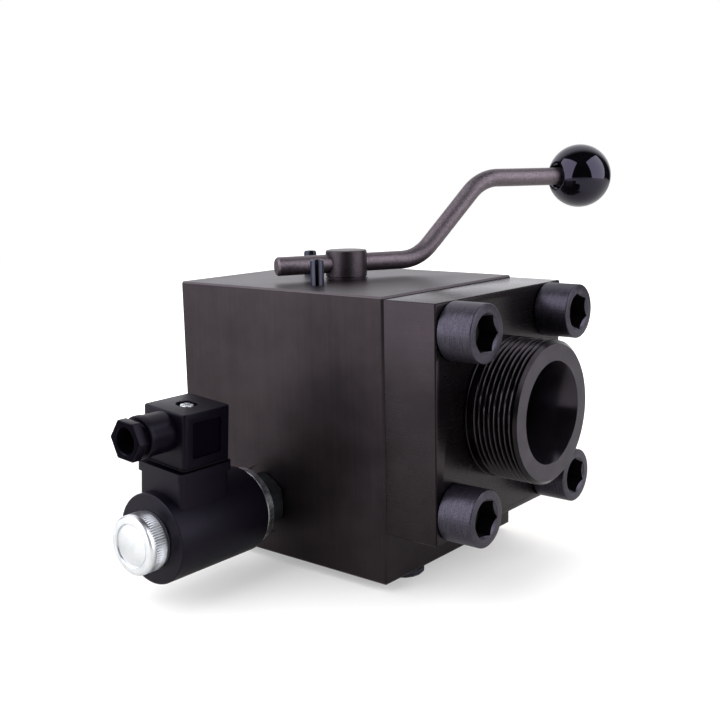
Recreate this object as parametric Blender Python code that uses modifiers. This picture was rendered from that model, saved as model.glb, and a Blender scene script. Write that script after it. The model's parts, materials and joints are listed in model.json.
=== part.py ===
"""Hydraulic safety block for a pressure accumulator.

A steel block holds a ball valve that a bent lever turns, a solenoid valve on its front face and a
relief valve on its back face. A square flange with a threaded stub closes the right face.
Every size is in millimetres, and the helpers turn it into metres. Sizes and places count from the
centre of the block's bottom face, and the frames move them to the part's own origin, which is the
middle of the four fixing holes on the back face. +X points to the stub and +Z up.
"""
import math

import bmesh
import bpy
from mathutils import Matrix, Vector

MM = 0.001
CLEAR = 0.3                 # gap between pieces that touch on the real block

# Steel block
BLOCK_LENGTH = 118.0
BLOCK_WIDTH = 97.0
BLOCK_HEIGHT = 120.0
BLOCK_EDGE = 0.8
BORE_DEPTH = 49.5           # flow axis below the top face
BORE_Y = 0.5                # flow axis beside the block's middle

# Flange with the threaded stub
FLANGE_SIZE = BLOCK_WIDTH
FLANGE_THICKNESS = 24.7
FLANGE_EDGE = 1.2
STUB_LENGTH = 24.0
STUB_COLLAR = 4.5
THREAD_DIAMETER = 59.6      # G2 pipe thread, 11 turns to the inch
THREAD_PITCH = 2.309
THREAD_DEPTH = 1.48
THREAD_CRESTS = 8
MOUTH_DIAMETER = 42.8
MOUTH_CONE = 24.0
SEAL_DIAMETER = 62.5
SEAL_SECTION = 2.1

# Cap screws
BOLT_INSET = 11.75
BOLT_DIAMETER = 16.0
BOLT_GRIP = 26.0            # length that is screwed into the block
HEAD_DIAMETER = 23.4
HEAD_HEIGHT = 15.4
HEAD_EDGE = 0.8
BOLT_KEY = 14.0
BOLT_KEY_DEPTH = 8.0
BOLT_KEY_TURNS = (-4.0, 39.0, -9.0, 33.0)   # where each screw's socket came to rest, in degrees

# Ball valve
FLOW_BORE = 30.0
BALL_DIAMETER = 48.0
CAVITY_DIAMETER = 54.0
SEAT_LENGTH = 13.65
SEAT_LAND = 4.5             # width of the spherical land, measured across the flow
PORT_DIAMETER = 40.4
PORT_DEPTH = 22.0

# Spindle, which ends in the round hub on top
SPINDLE_DIAMETER = 19.0
HUB_HEIGHT = 13.0
COLLAR_DIAMETER = 26.0
COLLAR_HEIGHT = 2.9
WASHER_THICKNESS = 0.7
TANG_THICKNESS = 8.0
TANG_WIDTH = 20.0
TANG_DEPTH = 5.3            # how far the tang reaches into the ball
SPINDLE_SEALS = (5.0, 12.0)  # depths below the top face
SPINDLE_SEAL_SECTION = 1.7

# Lever
LEVER_ANGLE = 62.0          # direction of the grip from the flow axis, as it stands here
LEVER_TURN = 90.0
ROD_DIAMETER = 8.5
ROD_HEIGHT = 7.0            # rod's axis above the top face
TAIL_LENGTH = 34.0
RISE_START = 36.7
RISE = 37.0
RISE_ANGLE = 47.3
BEND_RADIUS = 20.0
KNOB_CENTRE = 126.8
KNOB_DIAMETER = 31.0
KNOB_NECK = 15.0
KNOB_RECESS = 11.4
KNOB_RECESS_DEPTH = 4.0

# Slotted stop pins
PIN_DIAMETER = 6.0
PIN_WALL = 1.2
PIN_SLOT = 1.4
PIN_HEIGHT = 11.0
PIN_SEAT = 9.0
PIN_REACH = 30.0            # distance from the spindle's axis

# Solenoid valve
VALVE_X = -9.7
VALVE_Z = 24.8
HEX_ACROSS = 22.0
HEX_LENGTH = 11.4
NOSE_DIAMETER = 15.8
NOSE_LENGTH = 18.0
VALVE_THREAD = 19.2
VALVE_THREAD_LENGTH = 14.0
TUBE_DIAMETER = 16.0
TUBE_BORE = 9.4
STUD_DIAMETER = 12.0
ARMATURE_LENGTH = 24.0
POPPET_DIAMETER = 4.4
VALVE_SEALS = (12.4, 4.4)   # distances from the nose's end
SMALL_SEAL = 1.6            # section of the cartridges' rings
GROOVE_DEPTH = 1.9
GROOVE_HALF = 1.3           # half the width of their grooves
SIDE_PORT = 3.6
SPOTFACE = 31.0
SPOTFACE_DEPTH = 0.8
TUBE_SOCKET = 9.4           # depth of the tube's socket in the hexagon
STUD_LENGTH = 7.2
TUBE_END_WALL = 1.8
SPRING_ROOM = 10.0          # from the armature to the end of the tube's bore
SPRING_POCKET = 8.0

# Coil
COIL_TILT = 4.5             # degrees that the coil and plug are turned on the tube
COIL_DIAMETER = 37.8
COIL_LENGTH = 49.3
COIL_EDGE = 0.7
END_PLATE_DIAMETER = 34.0
END_PLATE_THICKNESS = 4.4
SOCKET_HALF = 12.7
SOCKET_SETBACK = 4.6        # coil's front face to the socket's front face
SOCKET_TOP = 29.4
LIP_HEIGHT = 3.8
LIP_OVERHANG = 1.0
COIL_NUT_DIAMETER = 24.7
COIL_NUT_LENGTH = 10.0
NUT_RIM = 1.4               # plain rim behind the knurling
NUT_RECESS = 17.0           # disc on the nut's front, inside a fine ring

# Connector plug
PLUG_SIZE = 24.7
PLUG_TOP = 53.0
PLUG_WALL = 2.0
GASKET_THICKNESS = 0.6
NECK_DIAMETER = 17.5
NECK_LENGTH = 12.9
NECK_CENTRE = 44.0
GLAND_ACROSS = 15.4
GLAND_LENGTH = 4.4
GLAND_GAP = 1.9             # thread that shows between the neck and the nut
CABLE_HOLE = 10.7
BLADE_THICKNESS = 0.8
BLADE_WIDTH = 5.0
BLADE_SPREAD = 12.0
BLADE_TOP = 38.0
PLUG_SCREW = 3.0
PLUG_SCREW_HEAD = 5.8
SCREW_RECESS = 2.4
RECESS_DIAMETER = 8.8
GLAND_THREAD_LENGTH = 6.0
GROMMET_LENGTH = 5.5
WASHER = 0.8

# Relief valve on the back face
RELIEF_X = -30.0
RELIEF_Z = 27.0
RELIEF_NOSE = 17.0
RELIEF_NOSE_LENGTH = 19.2
RELIEF_THREAD = 22.0
RELIEF_THREAD_LENGTH = 14.0
RELIEF_HEX = 27.0
RELIEF_HEX_LENGTH = 10.0
RELIEF_BARREL = 20.0
RELIEF_BARREL_LENGTH = 14.0
RELIEF_CHAMBER = 11.0
RELIEF_GUIDE = 10.0         # height of the poppet's shoulder over its seat
ADJUSTER_DIAMETER = 10.4
LOCKNUT_ACROSS = 17.0
LOCKNUT_LENGTH = 5.5
ADJUSTER_OUT = 14.0
ADJUSTER_IN = 10.0
ADJUSTER_KEY = 5.0

# Screw plugs under the block: X, Y and the depth of the drilling above each
BASE_PLUGS = ((BLOCK_LENGTH / 2 - 9.7, -24.0, 64.0), (VALVE_X, -11.0, 50.0),
              (RELIEF_X, 9.0, 62.0), (BLOCK_LENGTH / 2 - 23.0, 25.0, 64.0))
PLUG_COLLAR = 18.6
PLUG_COLLAR_HEIGHT = 3.0
PLUG_THREAD = 13.0
PLUG_THREAD_LENGTH = 9.0
PLUG_KEY = 6.0
DRILLING = 5.0

# Threaded fixing holes in the back face
FIXING_X = (-50.0, 18.0)
FIXING_EDGE = 11.0
FIXING_DIAMETER = 10.2
FIXING_DEPTH = 18.0

# Facets of round shapes
FINE_SEGMENTS = 40
MEDIUM_SEGMENTS = 24
SMALL_SEGMENTS = 16
CUTTER_TWIST = 0.4          # degrees; keeps a cutter's edges off the edges of the part

# Places that follow from the sizes above
RIGHT = BLOCK_LENGTH / 2
FRONT = BLOCK_WIDTH / 2
ORIGIN = Vector((sum(FIXING_X) / 2, FRONT, BLOCK_HEIGHT / 2))
BORE_Z = BLOCK_HEIGHT - BORE_DEPTH
BALL = BALL_DIAMETER / 2
CAVITY = CAVITY_DIAMETER / 2
FLANGE_BACK = RIGHT + CLEAR
FLANGE_FACE = FLANGE_BACK + FLANGE_THICKNESS
SEAT_START = math.sqrt((BALL + CLEAR) ** 2 - (FLOW_BORE / 2 + 1.0 + SEAT_LAND) ** 2)
CAVITY_END = SEAT_START + SEAT_LENGTH + CLEAR
ROD_Z = BLOCK_HEIGHT + ROD_HEIGHT
LEVER_DIRECTION = Vector((math.cos(math.radians(LEVER_ANGLE)), math.sin(math.radians(LEVER_ANGLE)), 0))

MATERIALS = {
    "black_oxide": ((0.070, 0.060, 0.066), 0.42, 0.85),
    "flange_black": ((0.060, 0.052, 0.058), 0.38, 0.85),
    "screw_black": ((0.075, 0.072, 0.090), 0.45, 0.80),
    "lever_steel": ((0.140, 0.115, 0.120), 0.40, 0.90),
    "phenolic_black": ((0.012, 0.011, 0.014), 0.08, 0.00),
    "zinc": ((0.720, 0.730, 0.720), 0.28, 1.00),
    "steel": ((0.560, 0.560, 0.570), 0.30, 1.00),
    "spring_steel": ((0.250, 0.250, 0.290), 0.35, 1.00),
    "coil_plastic": ((0.030, 0.027, 0.033), 0.50, 0.00),
    "plug_plastic": ((0.034, 0.030, 0.038), 0.42, 0.00),
    "rubber": ((0.016, 0.016, 0.017), 0.70, 0.00),
    "seat_plastic": ((0.780, 0.760, 0.700), 0.45, 0.00),
    "brass": ((0.780, 0.580, 0.260), 0.30, 1.00),
    "grey_nylon": ((0.350, 0.350, 0.340), 0.50, 0.00),
}


def material(name):
    """Return the named finish, made the first time that it is asked for."""
    found = bpy.data.materials.get(name)
    if found:
        return found
    colour, roughness, metallic = MATERIALS[name]
    made = bpy.data.materials.new(name)
    made.use_nodes = True
    shader = made.node_tree.nodes["Principled BSDF"]
    shader.inputs["Base Color"].default_value = (*colour, 1.0)
    shader.inputs["Roughness"].default_value = roughness
    shader.inputs["Metallic"].default_value = metallic
    return made


def frame(origin, z_axis, x_axis):
    """Return the placing matrix of a shape whose local Z lies along z_axis, in the part's own frame."""
    z = Vector(z_axis).normalized()
    x = Vector(x_axis)
    x = (x - x.dot(z) * z).normalized()
    place = Matrix((x, z.cross(x), z)).transposed().to_4x4()
    place.translation = (Vector(origin) - ORIGIN) * MM
    return place


def shifted(place, x=0.0, y=0.0, z=0.0):
    """Return the frame moved along its own axes."""
    return place @ Matrix.Translation(Vector((x, y, z)) * MM)


def new_object(name, mesh, place, finish):
    """Link a mesh as a part, or as a hidden cutter when it has no finish."""
    made = bpy.data.objects.new(name, mesh)
    made.matrix_world = place
    if finish:
        mesh.materials.clear()
        mesh.materials.append(material(finish))
        PARTS.objects.link(made)
    else:
        CUTTERS.objects.link(made)
        made.hide_render = True
        made.display_type = "WIRE"
    return made


def turned(name, profile, steps, place, finish=None, ring=False):
    """Turn a profile of (radius, height) points round the frame's Z axis.

    The points run down the outer side first. A ring closes its profile into a loop.
    """
    mesh = bpy.data.meshes.new(name)
    points = [(radius * MM, 0.0, height * MM) for radius, height in profile]
    edges = [(i, i + 1) for i in range(len(points) - 1)]
    if ring:
        edges.append((len(points) - 1, 0))
    mesh.from_pydata(points, edges, [])
    if not finish:
        twist = math.radians(CUTTER_TWIST * (1 + len(CUTTERS.objects)))
        place = place @ Matrix.Rotation(twist, 4, "Z")
    made = new_object(name, mesh, place, finish)
    screw = made.modifiers.new("turn", "SCREW")
    screw.axis = "Z"
    screw.steps = screw.render_steps = steps
    screw.use_merge_vertices = True
    screw.merge_threshold = 0.00001
    return made


def sleeve(name, outer, inner, low, high, steps, place, finish=None):
    """A plain ring with square corners."""
    profile = [(outer, high), (outer, low), (inner, low), (inner, high)]
    return turned(name, profile, steps, place, finish, ring=True)


def rod(name, radius, low, high, steps, place, finish=None, edge=0.0):
    """A plain round bar, with both ends chamfered where an edge is given."""
    profile = [(0, high), (radius - edge, high), (radius, high - edge), (radius, low + edge),
               (radius - edge, low), (0, low)]
    if not edge:
        profile = [(0, high), (radius, high), (radius, low), (0, low)]
    return turned(name, profile, steps, place, finish)


def seal(name, middle, section, height, place, finish="rubber"):
    """A round-section ring, as an O-ring lies in its groove."""
    sides = 6
    points = []
    for i in range(sides):
        angle = math.pi / 2 - 2 * math.pi * i / sides
        points.append((middle + section / 2 * math.cos(angle), height + section / 2 * math.sin(angle)))
    return turned(name, points, MEDIUM_SEGMENTS, place, finish, ring=True)


def prism(name, across, low, high, place, finish=None, corners=6, turn=0.0, edge=0.0):
    """A bar with flats, such as a hexagon, with one corner on the frame's X axis before it is turned."""
    bm = bmesh.new()
    radius = across / 2 / math.cos(math.pi / corners)
    bmesh.ops.create_cone(bm, cap_ends=True, segments=corners, radius1=radius * MM, radius2=radius * MM,
                          depth=(high - low) * MM)
    start = 0.0 if corners == 4 else math.pi / 2
    bmesh.ops.rotate(bm, verts=bm.verts, matrix=Matrix.Rotation(start + turn, 3, "Z"))
    bmesh.ops.translate(bm, verts=bm.verts, vec=(0, 0, (high + low) / 2 * MM))
    mesh = bpy.data.meshes.new(name)
    bm.to_mesh(mesh)
    bm.free()
    made = new_object(name, mesh, place, finish)
    if edge:
        round_edges(made, edge, 1)
    return made


def box(name, low, high, place, finish=None, corner=0.0, along=None):
    """A box between two corners. Only edges along the given axis are rounded, or all of them if none is."""
    low, high = Vector(low), Vector(high)
    bm = bmesh.new()
    bmesh.ops.create_cube(bm, size=1.0)
    bmesh.ops.scale(bm, verts=bm.verts, vec=(high - low) * MM)
    bmesh.ops.translate(bm, verts=bm.verts, vec=(high + low) / 2 * MM)
    if corner and along is not None:
        sharp = [e for e in bm.edges
                 if abs((e.verts[0].co - e.verts[1].co).normalized()[along]) > 0.99]
        bmesh.ops.bevel(bm, geom=sharp, offset=corner * MM, offset_type="OFFSET", segments=3,
                        profile=0.5, affect="EDGES")
    mesh = bpy.data.meshes.new(name)
    bm.to_mesh(mesh)
    bm.free()
    made = new_object(name, mesh, place, finish)
    if corner and along is None:
        round_edges(made, corner, 1)
    return made


def round_edges(part, width, segments):
    """Bevel every edge of a part that turns by more than 30 degrees."""
    bevel = part.modifiers.new("edge", "BEVEL")
    bevel.width = width * MM
    bevel.segments = segments
    bevel.limit_method = "ANGLE"
    bevel.angle_limit = math.radians(30)


def combine(part, operation, others):
    """Cut the other shapes from a part or join them to it, and keep them hidden."""
    for other in others:
        boolean = part.modifiers.new(other.name, "BOOLEAN")
        boolean.operation = operation
        boolean.solver = "EXACT"
        boolean.object = other
    return part


def cut(part, *others):
    return combine(part, "DIFFERENCE", others)


def join(part, *others):
    return combine(part, "UNION", others)


def wire(name, points, radius, place, finish, sides=2, ends=1.0):
    """A bent bar or wire along a list of points. Its first end narrows to the given share."""
    curve = bpy.data.curves.new(name, "CURVE")
    curve.dimensions = "3D"
    curve.bevel_depth = radius * MM
    curve.bevel_resolution = curve.render_resolution_u = sides
    curve.use_fill_caps = True
    spline = curve.splines.new("POLY")
    spline.points.add(len(points) - 1)
    for point, at in zip(spline.points, points):
        point.co = (*(Vector(at) * MM), 1.0)
    spline.points[0].radius = ends
    drawn = bpy.data.objects.new(name + "_line", curve)
    bpy.context.scene.collection.objects.link(drawn)
    drawn.matrix_world = place
    bpy.context.view_layer.update()
    mesh = bpy.data.meshes.new_from_object(drawn.evaluated_get(bpy.context.evaluated_depsgraph_get()))
    mesh.name = name
    bm = bmesh.new()
    bm.from_mesh(mesh)
    bmesh.ops.remove_doubles(bm, verts=bm.verts, dist=0.000001)
    bm.to_mesh(mesh)
    bm.free()
    bpy.data.objects.remove(drawn)
    return new_object(name, mesh, place, finish)


def arc(centre, radius, start, end, steps):
    """Points on an arc, in degrees, as (across, up) pairs."""
    points = []
    for i in range(steps + 1):
        angle = math.radians(start + (end - start) * i / steps)
        points.append((centre[0] + radius * math.cos(angle), centre[1] + radius * math.sin(angle)))
    return points


def helix(radius, wire_radius, low, high, turns, steps=10):
    """Centre line of a compression spring between two heights."""
    count = int(turns * steps)
    first, last = low + wire_radius, high - wire_radius
    return [(radius * math.cos(2 * math.pi * i / steps), radius * math.sin(2 * math.pi * i / steps),
             first + (last - first) * i / count) for i in range(count + 1)]


def make_block():
    """The bored and drilled steel block."""
    block = box("valve_block", (-RIGHT, -FRONT, 0), (RIGHT, FRONT, BLOCK_HEIGHT), WORLD, "black_oxide",
                corner=BLOCK_EDGE)
    port, flow = PORT_DIAMETER / 2, FLOW_BORE / 2
    beyond = RIGHT + 1
    main = [(0, beyond), (CAVITY, beyond), (CAVITY, -CAVITY_END), (flow, -CAVITY_END),
            (flow, PORT_DEPTH - RIGHT), (port, PORT_DEPTH - RIGHT), (port, 1.5 - RIGHT),
            (port + 2.5, -beyond), (0, -beyond)]
    cut(block, turned("main_bore", main, FINE_SEGMENTS, MAIN))
    spindle = SPINDLE_DIAMETER / 2 + CLEAR
    recess = COLLAR_DIAMETER / 2 + CLEAR
    cut(block, turned("spindle_bore", [(0, BLOCK_HEIGHT + 1), (spindle, BLOCK_HEIGHT + 1),
                                       (spindle, RECESS_TOP), (recess, RECESS_TOP), (recess, BORE_Z),
                                       (0, BORE_Z)], MEDIUM_SEGMENTS, SPINDLE))
    for number, (y, z) in enumerate(bolt_places(), 1):
        cut(block, rod(f"bolt_hole_{number}", BOLT_DIAMETER / 2 + CLEAR, RIGHT - BOLT_GRIP - 2 * CLEAR,
                       RIGHT + 1, MEDIUM_SEGMENTS, shifted(MAIN, y, z)))
    for number, (x, y) in enumerate(pin_places(), 1):
        cut(block, rod(f"pin_hole_{number}", PIN_DIAMETER / 2 + CLEAR, BLOCK_HEIGHT - PIN_SEAT - CLEAR,
                       BLOCK_HEIGHT + 1, SMALL_SEGMENTS, shifted(WORLD, x, y)))
    nose, thread = NOSE_DIAMETER / 2 + CLEAR, VALVE_THREAD / 2 + CLEAR
    cut(block, turned("valve_cavity", [
        (0, FRONT + 1), (SPOTFACE / 2, FRONT + 1), (SPOTFACE / 2, FRONT - SPOTFACE_DEPTH),
        (thread, FRONT - SPOTFACE_DEPTH), (thread, NOSE_SHOULDER - CLEAR), (nose, NOSE_SHOULDER - CLEAR),
        (nose, NOSE_END - CLEAR), (DRILLING / 2, NOSE_END - CLEAR), (DRILLING / 2, NOSE_END - 8),
        (0, NOSE_END - 8)], MEDIUM_SEGMENTS, VALVE))
    nose, thread = RELIEF_NOSE / 2 + CLEAR, RELIEF_THREAD / 2 + CLEAR
    spot = RELIEF_HEX / 2 / math.cos(math.pi / 6) + 1.5
    cut(block, turned("relief_cavity", [
        (0, FRONT + 1), (spot, FRONT + 1), (spot, FRONT - SPOTFACE_DEPTH),
        (thread, FRONT - SPOTFACE_DEPTH), (thread, RELIEF_SHOULDER - CLEAR),
        (nose, RELIEF_SHOULDER - CLEAR), (nose, RELIEF_END - CLEAR), (DRILLING / 2, RELIEF_END - CLEAR),
        (DRILLING / 2, RELIEF_END - 8), (0, RELIEF_END - 8)], MEDIUM_SEGMENTS, RELIEF))
    hole = PLUG_THREAD / 2 + CLEAR
    for number, (x, y, depth) in enumerate(BASE_PLUGS, 1):
        drill = [(0, depth), (DRILLING / 2, depth), (DRILLING / 2, PLUG_THREAD_LENGTH + 3),
                 (hole, PLUG_THREAD_LENGTH + 3), (hole, -1), (0, -1)]
        cut(block, turned(f"plug_hole_{number}", drill, SMALL_SEGMENTS, shifted(WORLD, x, y)))
    for number, (x, z) in enumerate(fixing_places(), 1):
        cut(block, rod(f"fixing_hole_{number}", FIXING_DIAMETER / 2, FRONT - FIXING_DEPTH, FRONT + 1,
                       SMALL_SEGMENTS, shifted(BACK, x, -z)))


def bolt_places():
    """Offsets of the four cap screws from the flow axis."""
    half = FLANGE_SIZE / 2 - BOLT_INSET
    return [(-half, half), (half, half), (-half, -half), (half, -half)]


def fixing_places():
    """X and Z of the fixing holes in the back face."""
    return [(x, z) for x in FIXING_X for z in (FIXING_EDGE, BLOCK_HEIGHT - FIXING_EDGE)]


def pin_places():
    """The stops lie where the rod's tail meets them at both ends of the lever's turn."""
    lead = math.asin((ROD_DIAMETER / 2 + PIN_DIAMETER / 2 + CLEAR) / PIN_REACH)
    places = []
    for angle in (math.pi + math.radians(LEVER_TURN) + lead, math.pi - lead):
        places.append((PIN_REACH * math.cos(angle), BORE_Y + PIN_REACH * math.sin(angle)))
    return places


def make_flange():
    """The square flange and its threaded stub, turned and milled from one piece."""
    half = FLANGE_SIZE / 2
    flange = box("flange_adapter", (-half, -half, FLANGE_BACK), (half, half, FLANGE_FACE), MAIN,
                 "flange_black", corner=FLANGE_EDGE)
    crest = THREAD_DIAMETER / 2
    root = crest - THREAD_DEPTH
    end = FLANGE_FACE + STUB_LENGTH
    profile = [(0, end), (root + 0.3, end)]
    top = end - 1.0
    for turn in range(THREAD_CRESTS):
        middle = top - turn * THREAD_PITCH
        profile += [(crest, middle), (root, middle - THREAD_PITCH / 2)]
    profile[-1] = (root, FLANGE_FACE + STUB_COLLAR + 0.8)
    profile += [(crest, FLANGE_FACE + STUB_COLLAR), (crest, FLANGE_FACE - 2), (0, FLANGE_FACE - 2)]
    join(flange, turned("stub", profile, FINE_SEGMENTS, MAIN))
    sleeve_bore = FLOW_BORE / 2 + 1.0
    cut(flange, turned("mouth", [(0, end + 1), (MOUTH_DIAMETER / 2, end + 1), (MOUTH_DIAMETER / 2, end),
                                 (sleeve_bore, end - MOUTH_CONE), (sleeve_bore, FLANGE_BACK - 1),
                                 (0, FLANGE_BACK - 1)], FINE_SEGMENTS, MAIN))
    room = SEAL_SECTION / 2 + CLEAR
    cut(flange, sleeve("seal_groove", SEAL_DIAMETER / 2 + room, SEAL_DIAMETER / 2 - room,
                       FLANGE_BACK - 1, RIGHT + 2 * room, FINE_SEGMENTS, MAIN))
    for number, (y, z) in enumerate(bolt_places(), 1):
        cut(flange, rod(f"bolt_passage_{number}", BOLT_DIAMETER / 2 + 0.75, FLANGE_BACK - 1,
                        FLANGE_FACE + 1, MEDIUM_SEGMENTS, shifted(MAIN, y, z)))
    seal("flange_seal", SEAL_DIAMETER / 2, SEAL_SECTION, RIGHT + room, MAIN)


def make_bolts():
    """Four hexagon-socket cap screws."""
    for number, (y, z) in enumerate(bolt_places(), 1):
        place = shifted(MAIN, y, z)
        head, shank = HEAD_DIAMETER / 2, BOLT_DIAMETER / 2
        under = FLANGE_FACE + CLEAR
        top = under + HEAD_HEIGHT
        tip = RIGHT - BOLT_GRIP
        screw = turned(f"cap_screw_{number}", [
            (0, top), (head - 1.5, top), (head - HEAD_EDGE / 2, top - HEAD_EDGE / 2),
            (head, top - 2 * HEAD_EDGE), (head, under), (shank, under), (shank, tip + 1.5),
            (shank - 1.5, tip), (0, tip)], MEDIUM_SEGMENTS, place, "screw_black")
        key = BOLT_KEY / 2
        mouth = [(0, top + 0.5), (key + 2.2, top + 0.5), (key - 0.2, top - 1.1), (0, top - 1.1)]
        cut(screw, prism(f"bolt_key_{number}", BOLT_KEY, top - BOLT_KEY_DEPTH, top + 1, place,
                         turn=math.radians(BOLT_KEY_TURNS[number - 1])),
            turned(f"key_mouth_{number}", mouth, MEDIUM_SEGMENTS, place))


def make_ball_valve():
    """The bored ball, its two plastic seats and the sleeve that the flange holds in."""
    bm = bmesh.new()
    bmesh.ops.create_uvsphere(bm, u_segments=FINE_SEGMENTS, v_segments=MEDIUM_SEGMENTS, radius=BALL * MM)
    mesh = bpy.data.meshes.new("valve_ball")
    bm.to_mesh(mesh)
    bm.free()
    ball = new_object("valve_ball", mesh, shifted(SPINDLE, z=BORE_Z), "steel")
    along = frame((0, BORE_Y, BORE_Z), LEVER_DIRECTION, (0, 0, 1))
    cut(ball, rod("ball_bore", FLOW_BORE / 2, -BALL - 1, BALL + 1, MEDIUM_SEGMENTS, along))
    half = TANG_THICKNESS / 2 + CLEAR
    cut(ball, box("ball_slot", (-half, -BALL, TANG_FOOT - CLEAR), (half, BALL, BORE_Z + BALL + 1), SPINDLE))
    land = BALL + CLEAR
    inner = FLOW_BORE / 2 + 1.0
    outer = inner + SEAT_LAND
    curve = []
    for i in range(6):
        radius = outer + (inner - outer) * i / 5
        curve.append((radius, math.sqrt(land ** 2 - radius ** 2)))
    end = SEAT_START + SEAT_LENGTH
    wall = CAVITY - CLEAR
    profile = [(wall, end), (wall, SEAT_START), *curve, (inner, end)]
    turned("ball_seat_outlet", profile, MEDIUM_SEGMENTS, MAIN, "seat_plastic", ring=True)
    turned("ball_seat_inlet", profile, MEDIUM_SEGMENTS, frame((0, BORE_Y, BORE_Z), (-1, 0, 0), (0, 1, 0)),
           "seat_plastic", ring=True)
    sleeve("seat_sleeve", wall, inner, end + CLEAR, RIGHT, MEDIUM_SEGMENTS, MAIN, "steel")


def make_spindle():
    """The spindle: hub on top, two grooves for seals, a collar that holds it in and a tang."""
    radius, collar = SPINDLE_DIAMETER / 2, COLLAR_DIAMETER / 2
    hub_top = BLOCK_HEIGHT + HUB_HEIGHT
    groove = radius + CLEAR - SPINDLE_SEAL_SECTION - 2 * CLEAR
    room = SPINDLE_SEAL_SECTION / 2 + CLEAR
    profile = [(0, hub_top), (radius - 0.7, hub_top), (radius, hub_top - 0.7),
               (radius, BLOCK_HEIGHT + 1.1), (radius - 0.5, BLOCK_HEIGHT + 0.8),
               (radius - 0.5, BLOCK_HEIGHT + 0.4), (radius, BLOCK_HEIGHT + 0.1)]
    for depth in SPINDLE_SEALS:
        middle = BLOCK_HEIGHT - depth
        profile += [(radius, middle + room), (groove, middle + room), (groove, middle - room),
                    (radius, middle - room)]
    profile += [(radius, COLLAR_TOP), (collar, COLLAR_TOP), (collar, COLLAR_TOP - COLLAR_HEIGHT),
                (0, COLLAR_TOP - COLLAR_HEIGHT)]
    spindle = turned("spindle", profile, MEDIUM_SEGMENTS, SPINDLE, "lever_steel")
    half, width = TANG_THICKNESS / 2, TANG_WIDTH / 2
    join(spindle, box("tang", (-half, -width, TANG_FOOT), (half, width, COLLAR_TOP - 1), SPINDLE))
    across = frame((0, BORE_Y, ROD_Z), LEVER_DIRECTION, (0, 0, 1))
    cut(spindle, rod("rod_hole", ROD_DIAMETER / 2 + CLEAR, -collar, collar, MEDIUM_SEGMENTS, across))
    low = COLLAR_TOP + CLEAR
    sleeve("thrust_washer", collar, radius + CLEAR, low, low + WASHER_THICKNESS, MEDIUM_SEGMENTS, SPINDLE,
           "seat_plastic")
    for number, depth in enumerate(SPINDLE_SEALS, 1):
        seal(f"spindle_seal_{number}", (groove + radius + CLEAR) / 2, SPINDLE_SEAL_SECTION,
             BLOCK_HEIGHT - depth, SPINDLE)


def make_lever():
    """The bent rod with its chamfered tail, and the ball knob on the grip."""
    run = math.radians(RISE_ANGLE)
    tangent = BEND_RADIUS * math.tan(run / 2)
    grip_start = RISE_START + RISE / math.tan(run)
    first = (RISE_START - tangent, ROD_Z + BEND_RADIUS)
    second = (grip_start + tangent, ROD_Z + RISE - BEND_RADIUS)
    line = [(-TAIL_LENGTH, ROD_Z), (-TAIL_LENGTH + 0.9, ROD_Z)]
    line += arc(first, BEND_RADIUS, -90, -90 + RISE_ANGLE, 7)
    line += arc(second, BEND_RADIUS, 90 + RISE_ANGLE, 90, 7)
    line.append((KNOB_CENTRE + 1.5, ROD_Z + RISE))
    wire("lever_rod", [(across, 0, up) for across, up in line], ROD_DIAMETER / 2, SPINDLE, "lever_steel",
         sides=6, ends=0.8)
    radius, neck, hole = KNOB_DIAMETER / 2, KNOB_NECK / 2, ROD_DIAMETER / 2 + CLEAR
    foot = math.degrees(math.acos(neck / radius))
    profile = [(0, radius)] + arc((0, 0), radius, 90, -foot, 12)[1:]
    bottom = profile[-1][1]
    recess, floor = KNOB_RECESS / 2, bottom + KNOB_RECESS_DEPTH
    profile += [(recess + 0.4, bottom), (recess, bottom + 0.4), (recess, floor), (hole, floor),
                (hole, 1.5 + CLEAR), (0, 1.5 + CLEAR)]
    centre = Vector((0, BORE_Y, ROD_Z + RISE)) + KNOB_CENTRE * LEVER_DIRECTION
    turned("ball_knob", profile, MEDIUM_SEGMENTS, frame(centre, LEVER_DIRECTION, (0, 0, 1)), "phenolic_black")


def make_pins():
    """Two slotted spring pins, pressed into the top face as stops."""
    radius = PIN_DIAMETER / 2
    for (name, slot), (x, y) in zip((("stop_pin_front", -50), ("stop_pin_rear", -30)), pin_places()):
        place = shifted(WORLD, x, y)
        low, high = BLOCK_HEIGHT - PIN_SEAT, BLOCK_HEIGHT + PIN_HEIGHT
        inner = radius - PIN_WALL
        profile = [(inner, high), (radius - 0.4, high), (radius, high - 0.6), (radius, low + 0.6),
                   (radius - 0.4, low), (inner, low)]
        pin = turned(name, profile, SMALL_SEGMENTS, place, "spring_steel", ring=True)
        facing = place @ Matrix.Rotation(math.radians(slot), 4, "Z")
        half = PIN_SLOT / 2
        cut(pin, box(name + "_slot", (0, -half, low - 1), (radius + 1, half, high + 1), facing))


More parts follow.
